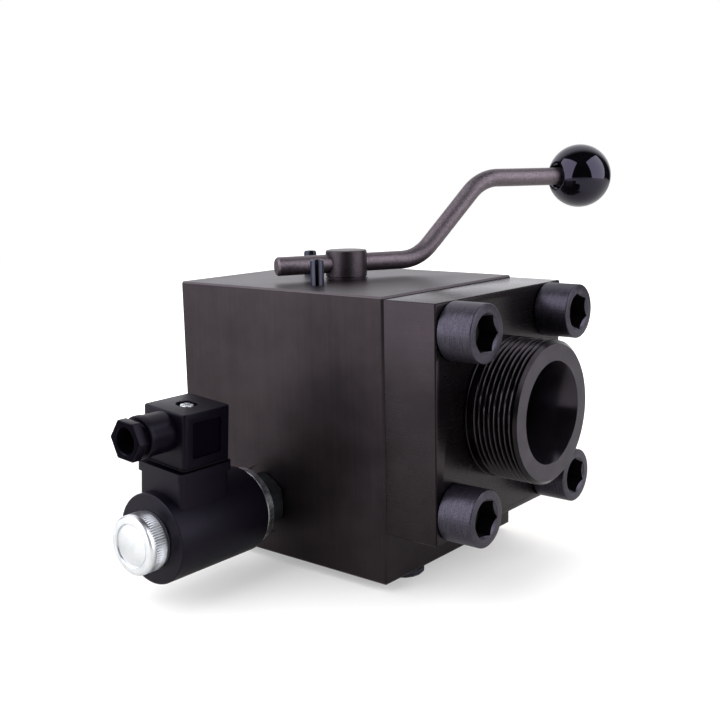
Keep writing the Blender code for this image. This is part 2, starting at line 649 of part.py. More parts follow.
def make_cartridge():
    """The valve cartridge, its tube, and the armature, poppet and spring that move inside."""
    nose, thread = NOSE_DIAMETER / 2, VALVE_THREAD / 2
    groove = nose - GROOVE_DEPTH
    profile = [(0, HEX_TOP), (thread, HEX_TOP), (thread, NOSE_SHOULDER), (nose, NOSE_SHOULDER)]
    for distance in VALVE_SEALS:
        middle = NOSE_END + distance
        profile += [(nose, middle + GROOVE_HALF), (groove, middle + GROOVE_HALF),
                    (groove, middle - GROOVE_HALF), (nose, middle - GROOVE_HALF)]
    profile += [(nose, NOSE_END + 1), (nose - 1, NOSE_END), (0, NOSE_END)]
    body = turned("cartridge_body", profile, MEDIUM_SEGMENTS, VALVE, "zinc")
    join(body, prism("cartridge_hex", HEX_ACROSS, HEX_TOP - HEX_LENGTH, HEX_TOP, VALVE, turn=math.pi / 6,
                     edge=0.6))
    stem = POPPET_DIAMETER / 2 + 0.4
    socket = STUD_DIAMETER / 2 + CLEAR
    cut(body, turned("cartridge_bore", [(0, HEX_TOP + 1), (socket, HEX_TOP + 1), (socket, SOCKET_FLOOR),
                                        (stem, SOCKET_FLOOR), (stem, NOSE_END - 1), (0, NOSE_END - 1)],
                     SMALL_SEGMENTS, VALVE))
    between = NOSE_END + sum(VALVE_SEALS) / 2
    for number, turn in enumerate((0, math.pi / 2), 1):
        across = VALVE @ Matrix.Translation((0, 0, between * MM)) @ Matrix.Rotation(turn, 4, "Z")
        across = across @ Matrix.Rotation(math.pi / 2, 4, "Y")
        cut(body, rod(f"side_port_{number}", SIDE_PORT / 2, -nose - 1, nose + 1, SMALL_SEGMENTS, across))
    for number, distance in enumerate(VALVE_SEALS, 1):
        seal(f"cartridge_seal_{number}", (groove + nose + CLEAR) / 2, SMALL_SEAL, NOSE_END + distance, VALVE)
    tube, stud, bore = TUBE_DIAMETER / 2, STUD_DIAMETER / 2, TUBE_BORE / 2
    turned("armature_tube", [
        (0, STUD_END), (stud - 0.8, STUD_END), (stud, STUD_END - 0.8), (stud, COIL_FACE + 0.2),
        (tube, COIL_FACE + 0.2), (tube, HEX_TOP + CLEAR), (stud, HEX_TOP + CLEAR),
        (stud, SOCKET_FLOOR + CLEAR), (bore, SOCKET_FLOOR + CLEAR), (bore, TUBE_END), (0, TUBE_END)],
        MEDIUM_SEGMENTS, VALVE, "steel")
    slide, pocket = bore - CLEAR, bore - 1.5
    front = TUBE_END - SPRING_ROOM
    floor = front - SPRING_POCKET
    turned("armature", [(0, floor), (pocket, floor), (pocket, front), (slide - 0.5, front),
                        (slide, front - 0.5), (slide, front - ARMATURE_LENGTH),
                        (0, front - ARMATURE_LENGTH)], SMALL_SEGMENTS, VALVE, "steel")
    poppet = POPPET_DIAMETER / 2
    turned("valve_poppet", [(0, front - ARMATURE_LENGTH - CLEAR), (poppet, front - ARMATURE_LENGTH - CLEAR),
                            (poppet, NOSE_END + 3), (0.6, NOSE_END + 1.2), (0, NOSE_END + 1.2)],
           SMALL_SEGMENTS, VALVE, "steel")
    wire("armature_spring", helix(pocket - 0.75, 0.45, floor + CLEAR, TUBE_END - CLEAR, 6), 0.45, VALVE,
         "spring_steel", sides=0)


def make_coil():
    """The overmoulded coil with its socket box, the end plate, the seal and the knurled nut."""
    radius, bore = COIL_DIAMETER / 2, TUBE_DIAMETER / 2 + CLEAR
    rear = COIL_FACE - COIL_LENGTH
    coil = turned("coil", [
        (0, COIL_FACE), (radius - COIL_EDGE, COIL_FACE), (radius, COIL_FACE - COIL_EDGE),
        (radius, rear + 2), (radius - 2, rear), (0, rear)], FINE_SEGMENTS, COIL, "coil_plastic")
    half, lip = SOCKET_HALF, SOCKET_HALF + LIP_OVERHANG
    join(coil,
         box("socket_box", (-half, 0, SOCKET_BACK), (half, SOCKET_TOP - 1, SOCKET_FRONT), COIL, corner=2.0,
             along=1),
         box("socket_lip", (-lip, SOCKET_TOP - LIP_HEIGHT, SOCKET_BACK - LIP_OVERHANG),
             (lip, SOCKET_TOP, SOCKET_FRONT + LIP_OVERHANG), COIL, corner=2.6, along=1))
    cut(coil, rod("coil_bore", bore, rear - 1, COIL_FACE + 1, MEDIUM_SEGMENTS, COIL))
    for name, (x, z), (width, depth) in blades():
        cut(coil, box(name + "_seat", (x - width / 2 - CLEAR, SOCKET_TOP - 4, z - depth / 2 - CLEAR),
                      (x + width / 2 + CLEAR, SOCKET_TOP + 1, z + depth / 2 + CLEAR), COIL))
        box(name, (x - width / 2, SOCKET_TOP - 4 + CLEAR, z - depth / 2), (x + width / 2, BLADE_TOP,
            z + depth / 2), COIL, "brass")
    cut(coil, rod("coil_thread", PLUG_SCREW / 2 + CLEAR, SOCKET_TOP - 7, SOCKET_TOP + 1, SMALL_SEGMENTS,
                  PLUG_AXIS))
    sleeve("coil_end_plate", END_PLATE_DIAMETER / 2, bore, rear - CLEAR - END_PLATE_THICKNESS, rear - CLEAR,
           FINE_SEGMENTS, COIL, "zinc")
    low = COIL_FACE + CLEAR
    ring = TUBE_DIAMETER / 2 + SMALL_SEAL / 2 + 0.1
    seal("coil_seal", ring, SMALL_SEAL, low + SMALL_SEAL / 2, COIL)
    nut, thread, disc = COIL_NUT_DIAMETER / 2, STUD_DIAMETER / 2 + CLEAR, NUT_RECESS / 2
    top, rim, bed = low + COIL_NUT_LENGTH, low + NUT_RIM, low + SMALL_SEAL + CLEAR
    room = ring + SMALL_SEAL / 2 + CLEAR
    turned("coil_nut", [
        (0, top - 0.3), (disc - 0.2, top - 0.3), (disc, top - 0.8), (disc + 0.4, top - 0.8),
        (disc + 0.6, top), (nut - 1.5, top), (nut - 0.4, top - 0.5), (nut, top - 1.6), (nut, rim + 0.3),
        (nut - 0.5, rim), (nut - 0.5, low), (room, low), (room, bed), (thread, bed),
        (thread, STUD_END + CLEAR), (0, STUD_END + CLEAR)], FINE_SEGMENTS, COIL, "zinc")


def blades():
    """Name, place and section of the contact blades in the socket."""
    half = BLADE_SPREAD / 2
    return [("contact_blade_1", (-half, PLUG_MIDDLE), (BLADE_THICKNESS, BLADE_WIDTH)),
            ("contact_blade_2", (half, PLUG_MIDDLE), (BLADE_THICKNESS, BLADE_WIDTH)),
            ("earth_blade", (0, PLUG_MIDDLE - 7), (BLADE_WIDTH, BLADE_THICKNESS))]


def make_plug():
    """The connector: gasket, contact insert, housing with its cable neck, screw and gland."""
    half = PLUG_SIZE / 2
    low = SOCKET_TOP + CLEAR
    gasket = box("plug_gasket", (-half, low, PLUG_MIDDLE - half), (half, low + GASKET_THICKNESS,
                 PLUG_MIDDLE + half), COIL, "rubber", corner=1.6, along=1)
    inside = half - PLUG_WALL
    cut(gasket, box("gasket_window", (-inside + 1, low - 1, PLUG_MIDDLE - inside + 1),
                    (inside - 1, low + 2, PLUG_MIDDLE + inside - 1), COIL))
    foot = low + GASKET_THICKNESS + CLEAR
    housing = box("plug_housing", (-half, foot, PLUG_MIDDLE - half), (half, PLUG_TOP, PLUG_MIDDLE + half),
                  COIL, "plug_plastic", corner=1.6, along=1)
    neck_end = PLUG_MIDDLE + half + NECK_LENGTH
    neck = shifted(COIL, y=NECK_CENTRE)
    join(housing, turned("neck", [(0, neck_end), (NECK_DIAMETER / 2 - 0.6, neck_end),
                                  (NECK_DIAMETER / 2, neck_end - 0.6), (NECK_DIAMETER / 2, PLUG_MIDDLE),
                                  (0, PLUG_MIDDLE)], MEDIUM_SEGMENTS, neck))
    ledge = PLUG_TOP - SCREW_RECESS
    ceiling = ledge - PLUG_WALL
    recess, passage = RECESS_DIAMETER / 2, PLUG_SCREW / 2 + 0.4
    bore = NECK_DIAMETER / 2 - 1.85
    cut(housing,
        box("plug_cavity", (-inside, foot - 1, PLUG_MIDDLE - inside), (inside, ceiling,
            PLUG_MIDDLE + inside), COIL),
        rod("neck_bore", bore, PLUG_MIDDLE + inside - 1, neck_end + 1, MEDIUM_SEGMENTS, neck),
        turned("screw_recess", [(0, PLUG_TOP + 1), (recess, PLUG_TOP + 1), (recess, ledge),
                                (passage, ledge), (passage, ceiling - 1), (0, ceiling - 1)],
               SMALL_SEGMENTS, PLUG_AXIS))
    panel = (half - 0.5, half + 1)
    for side in (-1, 1):
        xs = sorted(side * x for x in panel)
        cut(housing, box(f"side_panel_{side + 2}", (xs[0], foot + 3.5, PLUG_MIDDLE - half + 5),
                         (xs[1], PLUG_TOP - 4, PLUG_MIDDLE + half - 4.5), COIL))
    gap = inside - 2 * CLEAR
    insert = box("plug_insert", (-gap, foot + CLEAR, PLUG_MIDDLE - gap), (gap, BLADE_TOP + 4,
                 PLUG_MIDDLE + gap), COIL, "grey_nylon", corner=1.0, along=1)
    for name, (x, z), (width, depth) in blades():
        cut(insert, box(name + "_slot", (x - width / 2 - CLEAR, foot - 1, z - depth / 2 - CLEAR),
                        (x + width / 2 + CLEAR, BLADE_TOP + CLEAR, z + depth / 2 + CLEAR), COIL))
    cut(insert, rod("insert_passage", passage, foot - 1, BLADE_TOP + 5, SMALL_SEGMENTS, PLUG_AXIS))
    seat = ledge + CLEAR
    shank = PLUG_SCREW / 2
    head = PLUG_SCREW_HEAD / 2
    screw = turned("plug_screw", [(0, seat + 1.8), (head - 0.4, seat + 1.8), (head, seat + 1.3),
                                  (head, seat), (shank, seat), (shank, SOCKET_TOP - 6),
                                  (0, SOCKET_TOP - 6)], SMALL_SEGMENTS, PLUG_AXIS, "zinc")
    for number, (x, y) in enumerate(((3.2, 0.3), (0.3, 3.2)), 1):
        cut(screw, box(f"screw_cross_{number}", (-x, -y, seat + 0.9), (x, y, seat + 3), PLUG_AXIS))
    make_gland(neck, neck_end, bore)


def make_gland(neck, neck_end, bore):
    """The cable gland: hexagon nut, washer and rubber grommet in the neck."""
    hole, thread = CABLE_HOLE / 2, bore - CLEAR
    nut_foot = neck_end + GLAND_GAP
    nut_top = nut_foot + GLAND_LENGTH
    nut = prism("gland_nut", GLAND_ACROSS, nut_foot, nut_top, neck, "plug_plastic", edge=0.35)
    foot = neck_end - GLAND_THREAD_LENGTH
    join(nut, rod("gland_thread", thread, foot, nut_foot + 1, MEDIUM_SEGMENTS, neck))
    cut(nut, rod("cable_passage", hole, foot - 1, nut_top + 1, MEDIUM_SEGMENTS, neck))
    washer = foot - CLEAR
    sleeve("gland_washer", thread, hole - 0.6, washer - WASHER, washer, MEDIUM_SEGMENTS, neck, "grey_nylon")
    grommet = washer - WASHER - CLEAR
    sleeve("gland_seal", thread, hole - 1.2, grommet - GROMMET_LENGTH, grommet, MEDIUM_SEGMENTS, neck,
           "rubber")


def make_relief_valve():
    """The relief cartridge on the back face: body, seal, poppet, spring, adjuster and lock nut."""
    nose, thread, barrel = RELIEF_NOSE / 2, RELIEF_THREAD / 2, RELIEF_BARREL / 2
    middle = RELIEF_END + RELIEF_NOSE_LENGTH / 2
    groove = nose - GROOVE_DEPTH
    body = turned("relief_body", [
        (0, RELIEF_TOP), (barrel - 0.6, RELIEF_TOP), (barrel, RELIEF_TOP - 0.6),
        (barrel, RELIEF_HEX_TOP - 1), (thread, RELIEF_HEX_TOP - 1), (thread, RELIEF_SHOULDER),
        (nose, RELIEF_SHOULDER), (nose, middle + GROOVE_HALF), (groove, middle + GROOVE_HALF),
        (groove, middle - GROOVE_HALF), (nose, middle - GROOVE_HALF), (nose, RELIEF_END + 1),
        (nose - 1, RELIEF_END), (0, RELIEF_END)], MEDIUM_SEGMENTS, RELIEF, "zinc")
    join(body, prism("relief_hex", RELIEF_HEX, RELIEF_HEX_TOP - RELIEF_HEX_LENGTH, RELIEF_HEX_TOP, RELIEF,
                     edge=0.6))
    chamber = RELIEF_CHAMBER / 2
    cut(body, turned("relief_chamber", [
        (0, RELIEF_TOP + 1), (chamber, RELIEF_TOP + 1), (chamber, RELIEF_SEAT + 2), (2.5, RELIEF_SEAT),
        (2.5, RELIEF_END - 1), (0, RELIEF_END - 1)], MEDIUM_SEGMENTS, RELIEF))
    cut(body, rod("relief_port", SIDE_PORT / 2, -nose - 1, nose + 1, SMALL_SEGMENTS,
                  RELIEF @ Matrix.Translation((0, 0, (RELIEF_SHOULDER - 3) * MM))
                  @ Matrix.Rotation(math.pi / 2, 4, "Y")))
    seal("relief_seal", (groove + nose + CLEAR) / 2, SMALL_SEAL, middle, RELIEF)
    guide = chamber - CLEAR
    shoulder = RELIEF_SEAT + RELIEF_GUIDE
    turned("relief_poppet", [
        (0, shoulder + 2), (guide - 2, shoulder + 2), (guide - 2, shoulder), (guide, shoulder),
        (guide, RELIEF_SEAT + 3), (1.8, RELIEF_SEAT + 0.6), (0, RELIEF_SEAT + 0.6)], SMALL_SEGMENTS,
        RELIEF, "steel")
    foot = shoulder + CLEAR
    adjuster_end = RELIEF_TOP - ADJUSTER_IN
    wire("relief_spring", helix(chamber - 1.4, 0.8, foot, adjuster_end - CLEAR, 5), 0.8, RELIEF,
         "spring_steel", sides=0)
    screw = ADJUSTER_DIAMETER / 2
    out = RELIEF_TOP + ADJUSTER_OUT
    adjuster = rod("relief_adjuster", screw, adjuster_end, out, MEDIUM_SEGMENTS, RELIEF, "zinc", edge=0.7)
    cut(adjuster, prism("adjuster_key", ADJUSTER_KEY, out - ADJUSTER_KEY, out + 1, RELIEF))
    nut = prism("relief_locknut", LOCKNUT_ACROSS, RELIEF_TOP + CLEAR, RELIEF_TOP + CLEAR + LOCKNUT_LENGTH,
                RELIEF, "zinc", edge=0.5)
    cut(nut, rod("locknut_thread", screw + CLEAR, RELIEF_TOP - 1, RELIEF_TOP + LOCKNUT_LENGTH + 2,
                 MEDIUM_SEGMENTS, RELIEF))


def make_base_plugs():
    """Collar plugs that close the drillings in the bottom face. The block stands on them."""
    collar, thread = PLUG_COLLAR / 2, PLUG_THREAD / 2
    bottom = -CLEAR - PLUG_COLLAR_HEIGHT
    for number, (x, y, _) in enumerate(BASE_PLUGS, 1):
        place = shifted(WORLD, x, y)
        plug = turned(f"base_plug_{number}", [
            (0, PLUG_THREAD_LENGTH), (thread - 1, PLUG_THREAD_LENGTH), (thread, PLUG_THREAD_LENGTH - 1),
            (thread, -CLEAR), (collar, -CLEAR), (collar, bottom + 0.8), (collar - 0.8, bottom), (0, bottom)],
            SMALL_SEGMENTS, place, "screw_black")
        cut(plug, prism(f"plug_key_{number}", PLUG_KEY, bottom - 1, bottom + 5, place))


def settle(parts):
    """Turn every part's modifiers into its mesh and shade it smooth up to its edges."""
    bpy.context.view_layer.update()
    graph = bpy.context.evaluated_depsgraph_get()
    meshes = {part: bpy.data.meshes.new_from_object(part.evaluated_get(graph)) for part in parts}
    for part, mesh in meshes.items():
        finish = part.data.materials[0]
        mesh.materials.clear()
        mesh.materials.append(finish)
        mesh.polygons.foreach_set("material_index", [0] * len(mesh.polygons))
        part.modifiers.clear()
        part.data = mesh
        mesh.name = part.name
        mesh.shade_smooth()
        mesh.set_sharp_from_angle(angle=math.radians(30))


# Places of the inner pieces, worked out from the driving sizes
CAVITY_TOP = BORE_Z + CAVITY
COLLAR_TOP = CAVITY_TOP + 0.4 + COLLAR_HEIGHT
RECESS_TOP = COLLAR_TOP + 2 * CLEAR + WASHER_THICKNESS
TANG_FOOT = BORE_Z + BALL - TANG_DEPTH
HEX_TOP = FRONT - SPOTFACE_DEPTH + CLEAR + HEX_LENGTH
NOSE_SHOULDER = FRONT - SPOTFACE_DEPTH + CLEAR - VALVE_THREAD_LENGTH
NOSE_END = NOSE_SHOULDER - NOSE_LENGTH
SOCKET_FLOOR = HEX_TOP - TUBE_SOCKET
COIL_FACE = HEX_TOP + 2 * CLEAR + END_PLATE_THICKNESS + COIL_LENGTH
STUD_END = COIL_FACE + STUD_LENGTH
TUBE_END = COIL_FACE - TUBE_END_WALL
SOCKET_FRONT = COIL_FACE - SOCKET_SETBACK
SOCKET_BACK = SOCKET_FRONT - 2 * SOCKET_HALF - 0.8
PLUG_MIDDLE = (SOCKET_FRONT + SOCKET_BACK) / 2 - 1.0
RELIEF_SHOULDER = FRONT - SPOTFACE_DEPTH + CLEAR - RELIEF_THREAD_LENGTH
RELIEF_END = RELIEF_SHOULDER - RELIEF_NOSE_LENGTH
RELIEF_HEX_TOP = FRONT - SPOTFACE_DEPTH + CLEAR + RELIEF_HEX_LENGTH
RELIEF_TOP = RELIEF_HEX_TOP + RELIEF_BARREL_LENGTH
RELIEF_SEAT = RELIEF_END + 3.0

# Frames: local Z is each group's own axis
WORLD = frame((0, 0, 0), (0, 0, 1), (1, 0, 0))
MAIN = frame((0, BORE_Y, BORE_Z), (1, 0, 0), (0, 1, 0))
SPINDLE = frame((0, BORE_Y, 0), (0, 0, 1), LEVER_DIRECTION)
VALVE = frame((VALVE_X, 0, VALVE_Z), (0, -1, 0), (1, 0, 0))
TILT = math.radians(COIL_TILT)
COIL = frame((VALVE_X, 0, VALVE_Z), (0, -1, 0), (math.cos(TILT), 0, -math.sin(TILT)))
PLUG_AXIS = shifted(COIL, z=PLUG_MIDDLE) @ Matrix.Rotation(-math.pi / 2, 4, "X")
RELIEF = frame((RELIEF_X, 0, RELIEF_Z), (0, 1, 0), (1, 0, 0))
BACK = frame((0, 0, 0), (0, 1, 0), (1, 0, 0))

for old in list(bpy.data.objects):
    bpy.data.objects.remove(old)
PARTS = bpy.data.collections.new("hydraulic_safety_block")
CUTTERS = bpy.data.collections.new("cutters")
bpy.context.scene.collection.children.link(PARTS)
bpy.context.scene.collection.children.link(CUTTERS)

make_block()
make_flange()
make_bolts()
make_ball_valve()
make_spindle()
make_lever()
make_pins()
make_cartridge()
make_coil()
make_plug()
make_relief_valve()
make_base_plugs()
settle(list(PARTS.objects))
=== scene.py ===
"""The hydraulic safety block, dressed for its picture.

Finer pieces stand in for the construction's solids wherever the camera comes near them. Every surface
gets the finish of the real one, and a plain white studio goes round it. Lengths are in millimetres,
apart from those of the sheet and the lights, which are in metres. Places come from the packed
construction.
"""

import json
import math

import bmesh
import bpy
from mathutils import Matrix, Vector


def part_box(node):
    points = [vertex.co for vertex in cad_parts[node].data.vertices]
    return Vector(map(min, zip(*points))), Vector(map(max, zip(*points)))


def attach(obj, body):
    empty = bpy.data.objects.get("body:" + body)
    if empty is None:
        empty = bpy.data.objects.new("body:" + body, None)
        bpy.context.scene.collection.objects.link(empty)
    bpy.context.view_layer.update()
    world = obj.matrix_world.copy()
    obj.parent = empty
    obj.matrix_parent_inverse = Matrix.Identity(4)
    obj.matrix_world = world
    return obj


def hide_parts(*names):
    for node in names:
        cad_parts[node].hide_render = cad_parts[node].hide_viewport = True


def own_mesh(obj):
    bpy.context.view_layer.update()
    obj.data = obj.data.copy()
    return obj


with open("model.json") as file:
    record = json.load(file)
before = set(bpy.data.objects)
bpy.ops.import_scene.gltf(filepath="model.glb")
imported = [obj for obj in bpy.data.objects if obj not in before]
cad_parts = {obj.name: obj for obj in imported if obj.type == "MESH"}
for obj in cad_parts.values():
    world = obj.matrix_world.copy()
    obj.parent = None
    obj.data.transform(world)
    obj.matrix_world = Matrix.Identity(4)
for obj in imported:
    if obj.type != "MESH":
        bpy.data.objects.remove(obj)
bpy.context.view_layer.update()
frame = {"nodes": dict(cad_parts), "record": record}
nodes = frame["nodes"]
MM = 0.001

# Camera: where the photograph was taken from. It was solved on the block's corners, the screw heads
# and the thread, in a square frame.
SENSOR, FOCAL_LENGTH = 36.0, 52.432
HEADING, PITCH, ROLL = 39.3346, 10.4470, -1.0960
CAMERA_PLACE = Vector((327.031, -418.968, 110.512))
camera_data = bpy.data.cameras.new("camera")
camera_data.sensor_width = SENSOR
camera_data.lens = FOCAL_LENGTH
camera = bpy.data.objects.new("camera", camera_data)
bpy.context.scene.collection.objects.link(camera)
bpy.context.scene.camera = camera
turn, lift, roll = (math.radians(angle) for angle in (HEADING, PITCH, ROLL))
backward = Vector((math.sin(turn) * math.cos(lift), -math.cos(turn) * math.cos(lift), math.sin(lift)))
right = Vector((math.cos(turn), math.sin(turn), 0))
up = backward.cross(right)
side = math.cos(roll) * right + math.sin(roll) * up
top = math.cos(roll) * up - math.sin(roll) * right
view = Matrix((side, top, backward)).transposed().to_4x4()
view.translation = CAMERA_PLACE * MM
camera.matrix_world = view

# Studio sheet: a matt white floor under the base plugs. It takes the soft contact shadows, and away
# from the object it glows to plain white, as an overexposed studio sweep does.
SWEEP_SIZE = 3.0
SHADOW_REACH = (0.16, 0.36)
SHADOW_GLOW = 0.36
MIDDLE = (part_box("valve_block")[0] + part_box("valve_block")[1]) / 2


def srgb(code):
    """Turn a six-digit sRGB code into the linear colour that shaders take."""
    channels = [int(code[i:i + 2], 16) / 255 for i in (0, 2, 4)]
    return tuple(c / 12.92 if c <= 0.04045 else ((c + 0.055) / 1.055) ** 2.4 for c in channels) + (1.0,)


def add(tree, kind, inputs=None, stops=None, feeds=None, **settings):
    """Add a shader node with its settings and its ramp's two (position, code) stops.

    Its inputs take values, sockets, or nodes for their first output. It feeds a socket, if one is given.
    """
    made = tree.nodes.new("ShaderNode" + kind)
    for key, value in settings.items():
        setattr(made, key, value)
    for socket, value in (inputs or {}).items():
        if isinstance(value, bpy.types.Node):
            value = value.outputs[0]
        if isinstance(value, bpy.types.NodeSocket):
            tree.links.new(value, made.inputs[socket])
        else:
            made.inputs[socket].default_value = value
    if stops:
        for element, (position, code) in zip(made.color_ramp.elements, stops):
            element.position = position
            element.color = srgb(code)
    if feeds:
        tree.links.new(made.outputs[0], feeds)
    return made


def finish(name, colour, rough, metal=0.0):
    """Start a material and return it with its node tree and its shader."""
    made = bpy.data.materials.new(name)
    made.use_nodes = True
    shader = made.node_tree.nodes["Principled BSDF"]
    shader.inputs["Base Color"].default_value = srgb(colour)
    shader.inputs["Roughness"].default_value = rough
    shader.inputs["Metallic"].default_value = metal
    return made, made.node_tree, shader


sweep_material, tree, shader = finish("matt_white_sweep", "d6d6cf", 0.8)
shader.inputs["Specular IOR Level"].default_value = 0.1
ray = add(tree, "LightPath")
reach = add(tree, "VectorMath", {0: add(tree, "TexCoord").outputs["Object"]}, operation="LENGTH")
glow = add(tree, "MapRange", {"Value": reach.outputs["Value"], "From Min": SHADOW_REACH[0],
                              "From Max": SHADOW_REACH[1], "To Min": SHADOW_GLOW, "To Max": 1.0},
           interpolation_type="SMOOTHSTEP")
seen = add(tree, "Math", {0: glow, 1: ray.outputs["Is Camera Ray"]}, operation="MULTIPLY")
lamp = add(tree, "Emission", {"Strength": seen})
add(tree, "AddShader", {0: shader, 1: lamp}, feeds=tree.nodes["Material Output"].inputs["Surface"])
floor_place = (MIDDLE.x, MIDDLE.y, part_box("base_plug_1")[0].z)
bpy.ops.mesh.primitive_plane_add(size=SWEEP_SIZE, location=floor_place)
sweep = bpy.context.object
sweep.name = "sweep"
sweep.data.materials.append(sweep_material)

# Studio light: two tall soft boxes, one on each side of the camera, whose shapes show in the black
# knob, and a wide overhead bank that lights only the matt surfaces. The backdrop behind is white and
# the room before the object is dark, so black metal stays black and its far edges shine.
BOX_HEADINGS = {"right_box": 12, "left_box": -117}
BOX_RISE, BOX_WIDTH, BOX_HEIGHT, BOX_RADIANCE = 24, 1.2, 1.25, 3.6
LIGHT_DISTANCE = 1.0
BANK_HEADING, BANK_RISE, BANK_SIZE, BANK_RADIANCE = 130, 80, 1.2, 1.2
KNOB = (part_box("ball_knob")[0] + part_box("ball_knob")[1]) / 2
BACKDROP = Vector((-0.549, 0.669, 0.5))
BACKDROP_EDGE = (0.53, 0.8)
ROOM_STRENGTH, BACKDROP_STRENGTH = 0.01, 1.3


def soft_box(name, heading, rise, width, height, radiance):
    """A rectangular area light at a compass heading and a height angle, facing the knob."""
    data = bpy.data.lights.new(name, "AREA")
    data.shape = "RECTANGLE"
    data.size, data.size_y = width, height
    data.energy = radiance * math.pi * width * height
    made = bpy.data.objects.new(name, data)
    bpy.context.scene.collection.objects.link(made)
    turn, lift = math.radians(heading), math.radians(rise)
    away = Vector((math.cos(turn) * math.cos(lift), math.sin(turn) * math.cos(lift), math.sin(lift)))
    made.location = KNOB + away * LIGHT_DISTANCE
    made.rotation_euler = away.to_track_quat("Z", "Y").to_euler()
    made.visible_camera = False
    return made


for name, heading in BOX_HEADINGS.items():
    side_light = soft_box(name, heading, BOX_RISE, BOX_WIDTH, BOX_HEIGHT, BOX_RADIANCE)
    side_light.data.color = srgb("f3f1fb")[:3]
overhead = soft_box("overhead_bank", BANK_HEADING, BANK_RISE, BANK_SIZE, BANK_SIZE, BANK_RADIANCE)
overhead.visible_glossy = False
world = bpy.data.worlds.new("studio")
bpy.context.scene.world = world
world.use_nodes = True
tree = world.node_tree
tree.nodes.clear()
direction = add(tree, "TexCoord").outputs["Generated"]
behind = add(tree, "VectorMath", {0: direction, 1: BACKDROP}, operation="DOT_PRODUCT")
backdrop = add(tree, "MapRange", {"Value": behind.outputs["Value"], "From Min": BACKDROP_EDGE[0],
                                  "From Max": BACKDROP_EDGE[1], "To Min": ROOM_STRENGTH,
                                  "To Max": BACKDROP_STRENGTH}, interpolation_type="SMOOTHSTEP")
room = add(tree, "Background", {"Color": srgb("fbfaff"), "Strength": backdrop})
white = add(tree, "Background", {"Color": srgb("ffffff"), "Strength": 1.0})
camera_ray = add(tree, "LightPath").outputs["Is Camera Ray"]
mixed = add(tree, "MixShader", {0: camera_ray, 1: room, 2: white})
add(tree, "OutputWorld", {"Surface": mixed})
bpy.context.scene.view_settings.view_transform = "Standard"

# Valve block: a sawn and milled steel block, blackened in a hot oxide bath. The bath leaves a dark,
# warm grey with faint clouds, and the cutter's fine upright marks show through it.
MARK_SPACING = 0.7          # the real marks are about 0.3 mm apart, too fine to show
MARK_LENGTH = 60            # times their spacing
CLOUD_SIZE = 32


def grain(tree, size, stretch=(1, 1, 1), detail=3.0):
    """Noise in the object's own frame, with grains of the given size in millimetres, times the stretch."""
    scale = tuple(1 / (size * MM * s) for s in stretch)
    mapped = add(tree, "Mapping", {"Vector": add(tree, "TexCoord").outputs["Object"], "Scale": scale})
    return add(tree, "TexNoise", {"Vector": mapped, "Scale": 1.0, "Detail": detail,
                                  "Roughness": 0.6}).outputs["Fac"]


def milled_oxide(name, dark, light, painted_edge_light, rough, spacing):
    """Black-oxide steel with cutter marks: along its own X on the faces square to its Z, else along Z.

    The broken edges round those faces are dulled, and take another colour that is painted light along the
    edges.
    """
    made, tree, shader = finish(name, dark, rough, 0.9)
    upright = grain(tree, spacing, (1, 1, MARK_LENGTH), 2.0)
    lengthwise = grain(tree, spacing, (MARK_LENGTH, 1, 1), 2.0)
    normal = add(tree, "TexCoord").outputs["Normal"]
    facing = add(tree, "VectorMath", {0: normal}, operation="ABSOLUTE")
    facing = add(tree, "SeparateXYZ", {0: facing})
    marks = add(tree, "Mix", {0: facing.outputs["Z"], 2: upright, 3: lengthwise}, data_type="FLOAT")
    clouds = grain(tree, CLOUD_SIZE, detail=5.0)
    blend = add(tree, "Math", {0: marks, 1: 0.35, 2: clouds}, operation="MULTIPLY_ADD")
    colour = add(tree, "ValToRGB", {0: blend}, ((0.45, dark), (0.9, light)))
    gloss = add(tree, "MapRange", {"Value": blend, "From Min": 0.4, "From Max": 0.95,
                                   "To Min": rough - 0.03, "To Max": rough + 0.06})
    most = add(tree, "Math", {0: facing.outputs["X"], 1: facing.outputs["Y"]}, operation="MAXIMUM")
    most = add(tree, "Math", {0: most, 1: facing.outputs["Z"]}, operation="MAXIMUM")
    slanted = add(tree, "MapRange", {"Value": most, "From Min": 0.85, "From Max": 0.97,
                                     "To Min": 1.0, "To Max": 0.0})
    level = add(tree, "Math", {0: facing.outputs["Z"], 1: 0.4}, operation="GREATER_THAN")
    edge = add(tree, "Math", {0: slanted, 1: level}, operation="MULTIPLY")
    painted_tone = add(tree, "Mix", {0: edge, 6: colour, 7: srgb(painted_edge_light)}, data_type="RGBA")
    tree.links.new(painted_tone.outputs[2], shader.inputs["Base Color"])
    add(tree, "Mix", {0: edge, 2: gloss, 3: 0.7}, feeds=shader.inputs["Roughness"], data_type="FLOAT")
    add(tree, "Bump", {"Height": marks, "Distance": 0.006 * MM}, feeds=shader.inputs["Normal"])
    return made


def dress(material, *names):
    """Give construction nodes that stay as they are a finished material."""
    for name in names:
        nodes[name].data.materials.clear()
        nodes[name].data.materials.append(material)


# The block's edge chamfers, and the flanks of its tapped threads, are painted lighter than its faces: a
# painted highlight.
block_oxide = milled_oxide("milled_black_oxide", "262123", "352f31", "625c5e", 0.38, MARK_SPACING)
dress(block_oxide, "valve_block")

